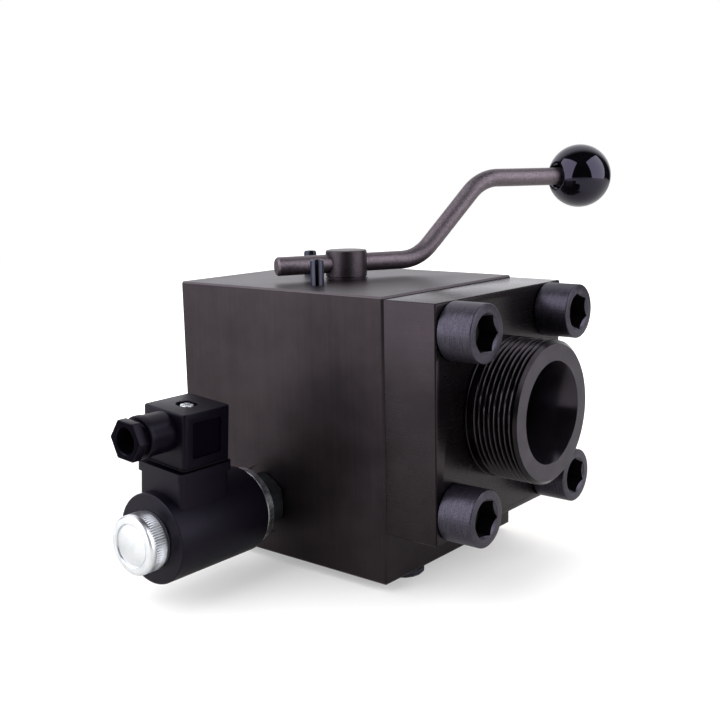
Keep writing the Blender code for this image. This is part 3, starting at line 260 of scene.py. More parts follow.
# Pump port and fixing holes: tapped in the block. Each gets the thread itself as a fine ridge that
# winds along the bore, blackened like the block.
PORT_RADIUS, PORT_THREAD, PORT_RIDGE, PORT_PITCH = 20.0, (2.2, 20.5), 1.3, 2.309
FIXING_RADIUS, FIXING_THREAD, FIXING_RIDGE, FIXING_PITCH = 5.0, (0.8, 17.5), 0.8, 1.75
PORT_WALL, FIXING_WALL = 0.15, 0.06
FIXING_PLACES = ((-34, -49), (-34, 49), (34, -49), (34, 49))
block_low, block_high = (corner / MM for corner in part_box("valve_block"))
flange_low, flange_high = (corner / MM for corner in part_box("flange_adapter"))
BORE_Y = (flange_low.y + flange_high.y) / 2
BORE_Z = (flange_low.z + flange_high.z) / 2
slots = {part["node"]: part["material_slot"] for part in frame["record"]["subparts"]}


def frame_at(origin, z_axis, x_axis):
    """Return the placing matrix of a shape whose local Z lies along z_axis."""
    z = Vector(z_axis).normalized()
    x = Vector(x_axis)
    x = (x - x.dot(z) * z).normalized()
    place = Matrix((x, z.cross(x), z)).transposed().to_4x4()
    place.translation = Vector(origin) * MM
    return place


def solid(name, bm, place):
    """Turn a bmesh in millimetres into an object at its place."""
    bmesh.ops.scale(bm, verts=bm.verts, vec=(MM, MM, MM))
    bmesh.ops.recalc_face_normals(bm, faces=bm.faces)
    mesh = bpy.data.meshes.new(name)
    bm.to_mesh(mesh)
    bm.free()
    made = bpy.data.objects.new(name, mesh)
    bpy.context.scene.collection.objects.link(made)
    made.matrix_world = place
    return made


def show(piece, material, body, *stands_for, slot=None, sharp=32):
    """Finish a piece: its material, its shading, its body and the nodes that it stands for."""
    piece.data.materials.clear()
    piece.data.materials.append(material)
    piece.data.polygons.foreach_set("material_index", [0] * len(piece.data.polygons))
    piece.data.shade_smooth()
    piece.data.set_sharp_from_angle(angle=math.radians(sharp))
    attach(piece, body)
    if stands_for:
        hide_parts(*stands_for)


def revolve(profile, steps, ring=False, shape=None):
    """Turn (radius, height) points round Z. The shape function may move each point by its angle."""
    bm = bmesh.new()
    rows = []
    for radius, height in profile:
        if radius == 0:
            rows.append([bm.verts.new((0, 0, height))])
            continue
        row = []
        for i in range(steps):
            angle = 2 * math.pi * i / steps
            r, h = shape(radius, height, angle) if shape else (radius, height)
            row.append(bm.verts.new((r * math.cos(angle), r * math.sin(angle), h)))
        rows.append(row)
    pairs = list(zip(rows, rows[1:])) + ([(rows[-1], rows[0])] if ring else [])
    for first, second in pairs:
        for i in range(steps):
            j = (i + 1) % steps
            corners = [first[i % len(first)], first[j % len(first)], second[j % len(second)],
                       second[i % len(second)]]
            bm.faces.new(list(dict.fromkeys(corners)))
    return bm


def winding(radius, ridge, pitch, band, wall, steps):
    """A threaded lining of a bore: crests point inward and wind along the band, with plain ends."""
    low, high = band
    rows = int((high - low) / pitch * 12)
    profile = [(wall, high), (wall, low)]
    profile += [(radius, low + (high - low) * i / rows) for i in range(rows + 1)]

    def crest(r, h, angle):
        if r == wall:
            return r, h
        phase = (h / pitch - angle / (2 * math.pi)) % 1.0
        fade = min(1.0, (h - low) / pitch, (high - h) / pitch)
        return r - ridge * fade * (1 - abs(2 * phase - 1)), h

    return revolve(profile, steps, ring=True, shape=crest)


port = frame_at((block_low.x, BORE_Y, BORE_Z), (1, 0, 0), (0, 1, 0))
lining = winding(PORT_RADIUS, PORT_RIDGE, PORT_PITCH, PORT_THREAD, PORT_RADIUS + PORT_WALL, 96)
show(solid("pump_port_thread", lining, port), block_oxide, "block", slot="black_oxide")
for number, (x, z) in enumerate(FIXING_PLACES, 1):
    hole = frame_at((x, block_high.y, z), (0, -1, 0), (1, 0, 0))
    lining = winding(FIXING_RADIUS, FIXING_RIDGE, FIXING_PITCH, FIXING_THREAD,
                     FIXING_RADIUS + FIXING_WALL, 40)
    show(solid(f"fixing_thread_{number}", lining, hole), block_oxide, "block", slot="black_oxide")

# Flange adapter: a square steel plate with a pipe-threaded stub turned from the same piece. The plate
# is milled and blackened. The stub is turned, so its oxide is glossier, and its crests carry a painted
# highlight.
FINE_MARKS = 0.5            # coarser than the real marks too
THREAD_PITCH, THREAD_CREST, THREAD_DEPTH = 2.309, 29.8, 1.48
CREST_FLAT, FLANK_SHARE, RUN_OUT, THREAD_ROWS = 0.08, 0.8, 0.9, 150
STUB_COLLAR, STUB_LENGTH = 4.5, 24
TIP_FALL, TIP_LENGTH = 1.5, 1.2
LINE_LOW, LINE_HIGH, LINE_DEPTH, LINE_SLOPE = 1.3, 2.4, 0.4, 0.3
PLATE_GAP = 0.02
MOUTH, FLOW = 21.4, 16.0
SLEEVE_ROOM, SLEEVE_DEPTH = FLOW + 4, 3
PASSAGE_RADIUS = 8.75
GROOVE_INNER, GROOVE_OUTER, GROOVE_DEPTH = 29.9, 32.6, 2
PLATE_EDGE, CUTTER_HALF = 0.7, 80
HEAD_HEIGHT, HEAD_CLEAR = 15.4, 0.3
PLATE_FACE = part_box("cap_screw_1")[1].x / MM - HEAD_HEIGHT - HEAD_CLEAR
STUB_END = flange_high.x
bolts = [((low.y + high.y) / 2 / MM, (low.z + high.z) / 2 / MM)
         for low, high in (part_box(f"cap_screw_{number}") for number in (1, 2, 3, 4))]


def soften(bm, edges, radius, segments=3):
    """Round some edges of a shape."""
    bmesh.ops.bevel(bm, geom=edges, offset=radius, offset_type="OFFSET", segments=segments, profile=0.5,
                    affect="EDGES")


def bevelled_box(low, high, edge, segments=3, along=None):
    """A box with rounded edges, either all of them or only those along one axis."""
    low, high = Vector(low), Vector(high)
    bm = bmesh.new()
    bmesh.ops.create_cube(bm, size=1.0)
    bmesh.ops.scale(bm, verts=bm.verts, vec=high - low)
    bmesh.ops.translate(bm, verts=bm.verts, vec=(high + low) / 2)
    edges = [e for e in bm.edges
             if along is None or abs((e.verts[0].co - e.verts[1].co).normalized()[along]) > 0.99]
    soften(bm, edges, edge, segments)
    return bm


def cylinder(name, radius, high, low, place, steps=64):
    """A plain round bar to cut a bore with."""
    return solid(name, revolve([(0, high), (radius, high), (radius, low), (0, low)], steps), place)


def combine(piece, operation, *others):
    """Cut shapes from a piece, or join them to it, for good."""
    for other in others:
        boolean = piece.modifiers.new("combine", "BOOLEAN")
        boolean.operation = operation
        boolean.solver = "EXACT"
        boolean.object = other
    bpy.context.view_layer.update()
    evaluated = piece.evaluated_get(bpy.context.evaluated_depsgraph_get())
    piece.data = bpy.data.meshes.new_from_object(evaluated)
    piece.modifiers.clear()
    for other in others:
        bpy.data.objects.remove(other)


main = frame_at((0, BORE_Y, BORE_Z), (1, 0, 0), (0, 1, 0))
half_y, half_z = (flange_high.y - flange_low.y) / 2, (flange_high.z - flange_low.z) / 2
back = flange_low.x
blank = bevelled_box((-half_y, -half_z, back - 2), (half_y, half_z, PLATE_FACE), PLATE_EDGE)
plate = solid("flange_plate", blank, main)
cutter = bevelled_box((-CUTTER_HALF, -CUTTER_HALF, back - 4), (CUTTER_HALF, CUTTER_HALF, back), 0.1, 1)
sawn_off = solid("sawn_off", cutter, main)
passages = [cylinder(f"passage_{y:.0f}_{z:.0f}", PASSAGE_RADIUS, PLATE_FACE + 1, back - 1,
                     frame_at((0, y, z), (1, 0, 0), (0, 1, 0)), 48) for y, z in bolts]
step = PLATE_FACE - SLEEVE_DEPTH
profile = [(0, PLATE_FACE + 1), (SLEEVE_ROOM, PLATE_FACE + 1), (SLEEVE_ROOM, step), (FLOW, step),
           (FLOW, back - 1), (0, back - 1)]
bore = solid("bore", revolve(profile, 96), main)
floor = back + GROOVE_DEPTH
profile = [(GROOVE_OUTER, back - 1), (GROOVE_OUTER, floor), (GROOVE_INNER, floor), (GROOVE_INNER, back - 1)]
groove = solid("groove", revolve(profile, 96, ring=True), main)
combine(plate, "DIFFERENCE", sawn_off, *passages, bore, groove)
# The plate's front edges are painted darker than its faces: painted shade.
flange_oxide = milled_oxide("fine_milled_black_oxide", "242022", "312c2e", "1a1618", 0.25, FINE_MARKS)
show(plate, flange_oxide, "block", "flange_adapter")

collar = PLATE_FACE + STUB_COLLAR
band = (collar + 0.5, STUB_END - 1.0)


def pipe_thread(radius, height, angle):
    """Cut a V with a narrow crest along a helix. It runs out into the collar."""
    if radius < THREAD_CREST or not band[0] < height < band[1]:
        return radius, height
    phase = (height / THREAD_PITCH - angle / (2 * math.pi)) % 1.0
    cut = min(1.0, max(0.0, (2 * min(phase, 1 - phase) - CREST_FLAT) / FLANK_SHARE))
    return radius - THREAD_DEPTH * cut * min(1.0, (height - band[0]) / RUN_OUT), height


thread_top, under_plate = band[1] - 0.3, PLATE_FACE - SLEEVE_DEPTH + 0.1
profile = [(MOUTH - 0.3, STUB_END - 0.35), (MOUTH, STUB_END), (THREAD_CREST - TIP_FALL, STUB_END),
           (THREAD_CREST - 0.1, STUB_END - TIP_LENGTH)]
profile += [(THREAD_CREST, thread_top - (thread_top - band[0]) * i / THREAD_ROWS)
            for i in range(THREAD_ROWS + 1)]
line = THREAD_CREST - LINE_DEPTH
profile += [(THREAD_CREST, collar), (THREAD_CREST, PLATE_FACE + LINE_HIGH),
            (line, PLATE_FACE + LINE_HIGH - LINE_SLOPE), (line, PLATE_FACE + LINE_LOW + LINE_SLOPE),
            (THREAD_CREST, PLATE_FACE + LINE_LOW), (THREAD_CREST, PLATE_FACE + PLATE_GAP),
            (SLEEVE_ROOM, PLATE_FACE + PLATE_GAP), (SLEEVE_ROOM, under_plate), (FLOW, under_plate),
            (FLOW, STUB_END - STUB_LENGTH)]
# The bore, the thread's crests and the end face are painted lighter than the glossy flanks: a painted
# reflection in the bore, a painted highlight on the crests and painted light on the rougher end face.
stub_oxide, tree, shader = finish("turned_black_oxide", "1d1a1c", 0.2, 0.85)
turning = grain(tree, FINE_MARKS, (MARK_LENGTH, MARK_LENGTH, 1), 2.0)
add(tree, "Bump", {"Height": turning, "Distance": 0.004 * MM}, feeds=shader.inputs["Normal"])
stain = grain(tree, 9, detail=4.0)
end_face = add(tree, "SeparateXYZ", {0: add(tree, "TexCoord").outputs["Normal"]})
faced = add(tree, "MapRange", {"Value": end_face.outputs["Z"], "From Min": 0.9, "From Max": 0.98})
flanks = add(tree, "ValToRGB", {0: stain}, ((0.35, "141113"), (0.7, "201c1f")))
painted_tone = add(tree, "ValToRGB", {0: stain}, ((0.35, "3a363c"), (0.7, "454147")))
place_in = add(tree, "SeparateXYZ", {0: add(tree, "TexCoord").outputs["Object"]})
flat = add(tree, "CombineXYZ", {0: place_in.outputs["X"], 1: place_in.outputs["Y"]})
radius = add(tree, "VectorMath", {0: flat}, operation="LENGTH").outputs["Value"]
crest = add(tree, "MapRange", {"Value": radius, "From Min": (THREAD_CREST - 0.12) * MM,
                               "From Max": (THREAD_CREST - 0.02) * MM})
threaded = add(tree, "Math", {0: place_in.outputs["Z"], 1: band[0] * MM}, operation="GREATER_THAN")
painted_edge_light = add(tree, "Math", {0: crest, 1: threaded}, operation="MULTIPLY")
bored = add(tree, "MapRange", {"Value": radius, "From Min": (MOUTH + 0.1) * MM,
                               "From Max": (MOUTH + 0.3) * MM, "To Min": 1.0, "To Max": 0.0})
oxide = add(tree, "Mix", {0: bored, 6: flanks, 7: srgb("322e34")}, data_type="RGBA")
oxide = add(tree, "Mix", {0: painted_edge_light, 6: oxide.outputs[2], 7: srgb("454144")}, data_type="RGBA")
oxide = add(tree, "Mix", {0: faced, 6: oxide.outputs[2], 7: painted_tone}, data_type="RGBA")
tree.links.new(oxide.outputs[2], shader.inputs["Base Color"])
gloss = add(tree, "MapRange", {"Value": stain, "To Min": 0.14, "To Max": 0.28})
add(tree, "Mix", {0: faced, 2: gloss, 3: 0.42}, feeds=shader.inputs["Roughness"], data_type="FLOAT")
stub = solid("threaded_stub", revolve(profile, 192, ring=True, shape=pipe_thread), main)
show(stub, stub_oxide, "block", slot=slots["flange_adapter"])

# Cap screws: four M16 hexagon-socket screws of class 12.9, forged, rolled and blackened. Their oxide is
# bluer and a little mottled, and the forged socket has a chamfered mouth that leaves six scallops.
KEY, KEY_DEPTH = 14.0, 8.0
KEY_TURNS = (-4, 39, -9, 33)
SHANK, SHANK_CHAMFER, HEAD_EDGE = 8, 1.5, 0.6
RIM_OUTER, RIM_INNER, DRILL_RADIUS = 8.98, 6.9, 6.7


def hexagon(across, low, high, turn=0.0):
    """A hexagonal bar with a corner on local Y before it is turned by some degrees."""
    bm = bmesh.new()
    radius = across / 2 / math.cos(math.pi / 6)
    bmesh.ops.create_cone(bm, cap_ends=True, segments=6, radius1=radius, radius2=radius, depth=high - low)
    about = Matrix.Rotation(math.pi / 2 + math.radians(turn), 3, "Z")
    bmesh.ops.rotate(bm, verts=bm.verts, matrix=about)
    bmesh.ops.translate(bm, verts=bm.verts, vec=(0, 0, (high + low) / 2))
    return bm


def arc(centre, radius, start, end, steps):
    """Points on an arc, in degrees, as (across, up) pairs."""
    angles = [math.radians(start + (end - start) * i / steps) for i in range(steps + 1)]
    return [(centre[0] + radius * math.cos(a), centre[1] + radius * math.sin(a)) for a in angles]


def refinish(piece, material, chosen):
    """Give the faces that pass a test, of their centre in millimetres and normal, another material."""
    piece.data.materials.append(material)
    for polygon in piece.data.polygons:
        if chosen(polygon.center / MM, polygon.normal):
            polygon.material_index = len(piece.data.materials) - 1


screw_oxide, tree, shader = finish("forged_black_oxide", "34323b", 0.4, 0.85)
speckle = grain(tree, 0.45, detail=4.0)
streaks = grain(tree, 0.5, (12, 12, 1), 2.0)
mottle = add(tree, "Math", {0: streaks, 1: 0.6, 2: speckle}, operation="MULTIPLY_ADD")
add(tree, "ValToRGB", {0: mottle}, ((0.6, "28262d"), (1.0, "4a4751")), feeds=shader.inputs["Base Color"])
add(tree, "MapRange", {"Value": mottle, "From Min": 0.5, "From Max": 1.1, "To Min": 0.34, "To Max": 0.48},
    feeds=shader.inputs["Roughness"])
add(tree, "Bump", {"Height": speckle, "Distance": 0.03 * MM, "Strength": 0.7},
    feeds=shader.inputs["Normal"])
# The sockets' walls are painted a dead black: painted shade deep in the hollow sockets.
socket_shade, tree, shader = finish("socket_painted_shade", "08080a", 0.5, 0.6)
add(tree, "MapRange", {"Value": grain(tree, 1.5), "To Min": 0.4, "To Max": 0.6},
    feeds=shader.inputs["Roughness"])
for number, ((y, z), turn) in enumerate(zip(bolts, KEY_TURNS), 1):
    low, high = (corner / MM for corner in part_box(f"cap_screw_{number}"))
    face, tip, head = high.x, low.x, (high.z - low.z) / 2
    under = face - HEAD_HEIGHT
    place = frame_at((0, y, z), (1, 0, 0), (0, 1, 0))
    profile = [(0, face), (head - HEAD_EDGE, face)]
    profile += arc((head - HEAD_EDGE, face - HEAD_EDGE), HEAD_EDGE, 60, 0, 3)
    profile += [(head, under + 0.4), (head - 0.4, under), (SHANK, under), (SHANK, tip + SHANK_CHAMFER),
                (SHANK - SHANK_CHAMFER, tip), (0, tip)]
    screw = solid(f"socket_screw_{number}", revolve(profile, 96), place)
    socket = solid("socket", hexagon(KEY, face - KEY_DEPTH, face + 1, turn), place)
    profile = [(0, face + 0.6), (RIM_OUTER, face + 0.6), (RIM_INNER, face - 1.0), (0, face - 1.0)]
    mouth = solid("mouth", revolve(profile, 96), place)
    profile = [(0, face - 7), (DRILL_RADIUS, face - 7), (DRILL_RADIUS, face - 8.2), (0, face - 11)]
    drill = solid("drill", revolve(profile, 48), place)
    combine(screw, "DIFFERENCE", socket, mouth, drill)
    show(screw, screw_oxide, "block", f"cap_screw_{number}", sharp=25)
    refinish(screw, socket_shade, lambda spot, _: spot.xy.length < 8.1 and face - 12 < spot.z < face - 0.9)

# Spindle: turned from bar with its round hub, seal grooves, collar and tang. It is burnished brown,
# warmer and drier than oxide, with fine dark pores. The lever rod passes through the hub.
HUB_RADIUS, HUB_EDGE, HUB_NECK = 9.5, 0.7, 9.1
SEAL_DEPTHS, SEAL_BED, SEAL_HALF = (5.0, 12.0), 7.5, 1.15
COLLAR_RADIUS, COLLAR_HEIGHT = 13, 2.9
TANG = (4, 10)
LEVER_ANGLE = 62.0
ROD_RADIUS, ROD_RISE, ROD_CLEAR = 4.25, 7, 0.12


def seal_groove(radius, bed, middle, half):
    """The corners of a sealing ring's groove in a turned profile, from above down."""
    return [(radius, middle + half), (bed, middle + half), (bed, middle - half), (radius, middle - half)]


lever_way = Vector((math.cos(math.radians(LEVER_ANGLE)), math.sin(math.radians(LEVER_ANGLE)), 0))
spindle_low, spindle_high = (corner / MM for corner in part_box("spindle"))
SPINDLE_X = (spindle_low.x + spindle_high.x) / 2
spindle_place = frame_at((SPINDLE_X, BORE_Y, 0), (0, 0, 1), lever_way)
hub, deck = spindle_high.z, block_high.z
ROD_Z = deck + ROD_RISE
profile = [(0, hub), (HUB_RADIUS - HUB_EDGE, hub)]
profile += arc((HUB_RADIUS - HUB_EDGE, hub - HUB_EDGE), HUB_EDGE, 70, 0, 3)
profile += [(HUB_RADIUS, deck + 1.2), (HUB_NECK, deck + 0.9), (HUB_NECK, deck + 0.5),
            (HUB_RADIUS, deck + 0.2)]
for depth in SEAL_DEPTHS:
    profile += seal_groove(HUB_RADIUS, SEAL_BED, deck - depth, SEAL_HALF)
collar_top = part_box("thrust_washer")[0].z / MM - 0.3
collar_foot = collar_top - COLLAR_HEIGHT
profile += [(HUB_RADIUS, collar_top), (COLLAR_RADIUS, collar_top), (COLLAR_RADIUS, collar_foot),
            (0, collar_foot)]
spindle = solid("turned_spindle", revolve(profile, 128), spindle_place)
tang_low, tang_high = (-TANG[0], -TANG[1], spindle_low.z), (*TANG, collar_top - 1)
combine(spindle, "UNION", solid("tang", bevelled_box(tang_low, tang_high, 0.3, 1), spindle_place))
across = frame_at((SPINDLE_X, BORE_Y, ROD_Z), lever_way, (0, 0, 1))
combine(spindle, "DIFFERENCE", cylinder("rod_hole", ROD_RADIUS + ROD_CLEAR, 14, -14, across))


def burnished(name, dark, light, rough):
    """Steel burnished brown: fine dark pores in a warm, half-matt skin."""
    made, tree, shader = finish(name, light, rough, 0.9)
    pores = grain(tree, 0.9, detail=4.0)
    add(tree, "ValToRGB", {0: pores}, ((0.35, dark), (0.68, light)), feeds=shader.inputs["Base Color"])
    add(tree, "MapRange", {"Value": pores, "To Min": rough - 0.06, "To Max": rough + 0.08},
        feeds=shader.inputs["Roughness"])
    add(tree, "Bump", {"Height": pores, "Distance": 0.012 * MM}, feeds=shader.inputs["Normal"])
    return made


show(spindle, burnished("turned_brown_oxide", "322d2f", "423c3f", 0.4), "lever", "spindle")

# Lever rod: a round steel bar, bent twice and burnished brown. Its tail end is chamfered, and its
# other end sits in the knob.
TAIL, TAIL_CHAMFER, TAIL_FALL = 34.0, (0.25, 0.9), (0.8, 0.45)
RISE_START, RISE, RISE_ANGLE, BEND = 36.7, 37.0, 47.3, 20.0
KNOB_CENTRE, PAST_CENTRE = 126.8, 1.5


def join_rings(bm, rings):
    """Join rings of points with faces, and close both ends."""
    for first, second in zip(rings, rings[1:]):
        for k, corner in enumerate(first):
            j = (k + 1) % len(first)
            bm.faces.new((corner, first[j], second[j], second[k]))
    bm.faces.new(rings[0])
    bm.faces.new(reversed(rings[-1]))
    return bm


def swept_bar(path, radii, sides):
    """A round bar along (across, up) points in the local XZ plane, with flat ends."""
    bm = bmesh.new()
    rings = []
    for i, ((x, z), radius) in enumerate(zip(path, radii)):
        ahead, behind = path[min(i + 1, len(path) - 1)], path[max(i - 1, 0)]
        slope = math.atan2(ahead[1] - behind[1], ahead[0] - behind[0])
        ring = []
        for k in range(sides):
            angle = 2 * math.pi * k / sides
            out, over = radius * math.cos(angle), radius * math.sin(angle)
            ring.append(bm.verts.new((x - out * math.sin(slope), over, z + out * math.cos(slope))))
        rings.append(ring)
    return join_rings(bm, rings)


run = math.radians(RISE_ANGLE)
tangent = BEND * math.tan(run / 2)
grip_start = RISE_START + RISE / math.tan(run)
path = [(-TAIL, ROD_Z)] + [(-TAIL + along, ROD_Z) for along in TAIL_CHAMFER]
path += arc((RISE_START - tangent, ROD_Z + BEND), BEND, -90, -90 + RISE_ANGLE, 20)
path += arc((grip_start + tangent, ROD_Z + RISE - BEND), BEND, 90 + RISE_ANGLE, 90, 20)
path.append((KNOB_CENTRE + PAST_CENTRE, ROD_Z + RISE))
radii = [ROD_RADIUS - fall for fall in TAIL_FALL] + [ROD_RADIUS] * (len(path) - len(TAIL_FALL))
bar_brown = burnished("burnished_brown_steel", "564f53", "6e666a", 0.46)
show(solid("lever_bar", swept_bar(path, radii, 48), spindle_place), bar_brown, "lever", "lever_rod")

# Ball knob: compression-moulded black phenolic, polished until it mirrors the soft boxes. Its neck is
# faced flat, with a counterbore round the rod.
KNOB_RADIUS, KNOB_NECK, KNOB_RECESS, KNOB_RECESS_DEPTH = 15.5, 7.5, 5.7, 4.0
KNOB_LAND = 0.12
ROD_SLIP, ROD_SEAT = 0.15, 1.8
foot = math.degrees(math.acos(KNOB_NECK / KNOB_RADIUS))
profile = [(0, KNOB_RADIUS)] + arc((0, 0), KNOB_RADIUS, 90, -foot, 72)[1:]
bottom = profile[-1][1]
recess_end = bottom + KNOB_RECESS_DEPTH
profile += [(KNOB_NECK - 0.3, bottom - KNOB_LAND), (KNOB_RECESS + 0.5, bottom - KNOB_LAND),
            (KNOB_RECESS, bottom + 0.3), (KNOB_RECESS, recess_end), (ROD_RADIUS + ROD_SLIP, recess_end),
            (ROD_RADIUS + ROD_SLIP, ROD_SEAT), (0, ROD_SEAT)]
phenolic, tree, shader = finish("polished_phenolic", "050506", 0.04)
shader.inputs["Specular Tint"].default_value = srgb("d9d3f2")
flow = grain(tree, 14, detail=2.0)
add(tree, "MapRange", {"Value": flow, "To Min": 0.02, "To Max": 0.07}, feeds=shader.inputs["Roughness"])
add(tree, "ValToRGB", {0: flow}, ((0.3, "040405"), (0.7, "08070a")), feeds=shader.inputs["Base Color"])
centre = spindle_place @ Vector((KNOB_CENTRE * MM, 0, (ROD_Z + RISE) * MM))
knob = solid("black_knob", revolve(profile, 128), frame_at(centre / MM, lever_way, (0, 0, 1)))
show(knob, phenolic, "lever", "ball_knob", sharp=40)

# Stop pins: slotted spring pins, rolled from strip, hardened and blued a dark slate, with chamfered ends.
# They are pressed into the block's top face where the rod's tail meets them.
PIN_RADIUS, PIN_WALL, PIN_SLOT = 3.0, 1.2, 1.4
SLOT_HEADINGS = {"stop_pin_front": -50, "stop_pin_rear": -30}
blued_spring, tree, shader = finish("blued_spring_steel", "34363f", 0.4, 0.95)
scale = grain(tree, 1.2, (1, 1, 6))
add(tree, "ValToRGB", {0: scale}, ((0.35, "2b2c34"), (0.65, "3d3f49")), feeds=shader.inputs["Base Color"])
add(tree, "MapRange", {"Value": scale, "To Min": 0.34, "To Max": 0.48}, feeds=shader.inputs["Roughness"])
inner, half = PIN_RADIUS - PIN_WALL, PIN_SLOT / 2
for name, heading in SLOT_HEADINGS.items():
    low, high = (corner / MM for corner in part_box(name))
    turn = math.radians(heading)
    place = frame_at(((low.x + high.x) / 2, (low.y + high.y) / 2, 0), (0, 0, 1),
                     (math.cos(turn), math.sin(turn), 0))
    profile = [(inner, high.z), (PIN_RADIUS - 0.45, high.z), (PIN_RADIUS - 0.3, high.z - 0.12),
               (PIN_RADIUS, high.z - 0.9), (PIN_RADIUS, low.z + 0.6), (PIN_RADIUS - 0.4, low.z),
               (inner, low.z)]
    pin = solid(name + "_tube", revolve(profile, 64, ring=True), place)
    opening = bevelled_box((0, -half, low.z - 1), (PIN_RADIUS + 1, half, high.z + 1), 0.05, 1)
    combine(pin, "DIFFERENCE", solid("slot", opening, place))
    show(pin, blued_spring, "block", name)

# Solenoid cartridge: a zinc-plated steel screw-in valve. Its hexagon has turned chamfers on both faces,
# and the plating is dull, with a grey-blue cast.
HEX_LENGTH, HEX_ACROSS, HEX_TURN = 11.4, 22.0, 30
CHAMFER_START, CHAMFER_ANGLE = 0.96, 28
SCREW_IN_RADIUS, SCREW_IN_LENGTH = 9.6, 14.0
NOSE_RADIUS, NOSE_SEALS, NOSE_BED, NOSE_HALF = 7.9, (12.4, 4.4), 6.0, 1.3
TUBE_BORE, TUBE_DEPTH, POPPET_BORE = 6.3, 9.4, 2.6
cartridge_low, cartridge_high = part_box("cartridge_body")
VALVE_X, VALVE_Z = ((low + high) / 2 / MM for low, high in zip(cartridge_low.xz, cartridge_high.xz))
hex_low, hex_high = cartridge_low / MM, cartridge_high / MM
HEX_TOP = -hex_low.y
valve = frame_at((VALVE_X, 0, VALVE_Z), (0, -1, 0), (1, 0, 0))
hex_foot, nose_end = HEX_TOP - HEX_LENGTH, -hex_high.y
thread_end = hex_foot - SCREW_IN_LENGTH
profile = [(0, HEX_TOP - 0.5), (SCREW_IN_RADIUS, HEX_TOP - 0.5), (SCREW_IN_RADIUS, thread_end),
           (NOSE_RADIUS, thread_end)]
for distance in NOSE_SEALS:
    profile += seal_groove(NOSE_RADIUS, NOSE_BED, nose_end + distance, NOSE_HALF)
profile += [(NOSE_RADIUS, nose_end + 1), (NOSE_RADIUS - 1, nose_end), (0, nose_end)]
cartridge = solid("screw_in_cartridge", revolve(profile, 96), valve)
blank = solid("hexagon", hexagon(HEX_ACROSS, hex_foot, HEX_TOP, HEX_TURN), valve)
corner, land = HEX_ACROSS / 2 / math.cos(math.pi / 6), HEX_ACROSS / 2 * CHAMFER_START
drop = (corner - land) * math.tan(math.radians(CHAMFER_ANGLE))
profile = [(0, HEX_TOP), (land, HEX_TOP), (corner + 0.1, HEX_TOP - drop), (corner + 0.1, hex_foot + drop),
           (land, hex_foot), (0, hex_foot)]
combine(blank, "INTERSECT", solid("lathe", revolve(profile, 96), valve))
combine(cartridge, "UNION", blank)
tube_end = HEX_TOP - TUBE_DEPTH
profile = [(0, HEX_TOP + 1), (TUBE_BORE, HEX_TOP + 1), (TUBE_BORE, tube_end), (POPPET_BORE, tube_end),
           (POPPET_BORE, nose_end - 1), (0, nose_end - 1)]
combine(cartridge, "DIFFERENCE", solid("tube_seat", revolve(profile, 64), valve))


def zinc_plate(name, dark, light, rough):
    """Zinc plating: bright crystals a millimetre or two across in a slightly cloudy, blue-grey film."""
    made, tree, shader = finish(name, light, rough, 1.0)
    crystals = grain(tree, 1.3, detail=4.0)
    film = grain(tree, 7)
    both = add(tree, "Math", {0: crystals, 1: 0.5, 2: film}, operation="MULTIPLY_ADD")
    add(tree, "ValToRGB", {0: both}, ((0.5, dark), (1.0, light)), feeds=shader.inputs["Base Color"])
    add(tree, "MapRange", {"Value": both, "From Min": 0.4, "From Max": 1.1, "To Min": rough - 0.05,
                           "To Max": rough + 0.1}, feeds=shader.inputs["Roughness"])
    add(tree, "Bump", {"Height": crystals, "Distance": 0.003 * MM}, feeds=shader.inputs["Normal"])
    return made


dull_zinc = zinc_plate("dull_zinc_plate", "454a4e", "6c7276", 0.36)
bright_zinc = zinc_plate("bright_zinc_plate", "d6dadb", "e6e9ea", 0.33)
show(cartridge, dull_zinc, "block", "cartridge_body")

# Coil: windings potted in glass-filled nylon. The moulding has a fine matt grain, a socket box with a
# lip for the plug, and softly rounded corners.
COIL_TILT, COIL_RADIUS, COIL_BORE = 4.5, 18.9, 8.3
FACE_ROUND, REAR_ROUND = 0.6, 2
SOCKET_SETBACK, SOCKET_LENGTH = 4.6, 26.2
SOCKET_HALF, SOCKET_TOP, SOCKET_CORNER = 12.7, 29.4, 2.0
LIP, LIP_EDGE, LIP_CORNER = 3.8, 1, 2.6
coil_low, coil_high = (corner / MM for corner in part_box("coil"))
COIL_FACE, COIL_REAR = -coil_low.y, -coil_high.y
SOCKET_FRONT = COIL_FACE - SOCKET_SETBACK
SOCKET_BACK = SOCKET_FRONT - SOCKET_LENGTH
tilt = math.radians(COIL_TILT)
coil_place = frame_at((VALVE_X, 0, VALVE_Z), (0, -1, 0), (math.cos(tilt), 0, -math.sin(tilt)))
profile = [(0, COIL_FACE), (COIL_RADIUS - 0.7, COIL_FACE)]
profile += arc((COIL_RADIUS - FACE_ROUND, COIL_FACE - FACE_ROUND), FACE_ROUND, 75, 0, 4)
profile += arc((COIL_RADIUS - REAR_ROUND, COIL_REAR + REAR_ROUND), REAR_ROUND, 0, -90, 6)
profile.append((0, COIL_REAR))
moulding = solid("coil_moulding", revolve(profile, 160), coil_place)
box_low, box_high = (-SOCKET_HALF, 0, SOCKET_BACK), (SOCKET_HALF, SOCKET_TOP - 1, SOCKET_FRONT)
box = solid("socket_box", bevelled_box(box_low, box_high, SOCKET_CORNER, 6, along=1), coil_place)
lip_low = (-SOCKET_HALF - LIP_EDGE, SOCKET_TOP - LIP, SOCKET_BACK - LIP_EDGE)
lip_high = (SOCKET_HALF + LIP_EDGE, SOCKET_TOP, SOCKET_FRONT + LIP_EDGE)
lip = solid("socket_lip", bevelled_box(lip_low, lip_high, LIP_CORNER, 6, along=1), coil_place)
combine(moulding, "UNION", box, lip)
combine(moulding, "DIFFERENCE", cylinder("coil_bore", COIL_BORE, COIL_FACE + 1, COIL_REAR - 1, coil_place))


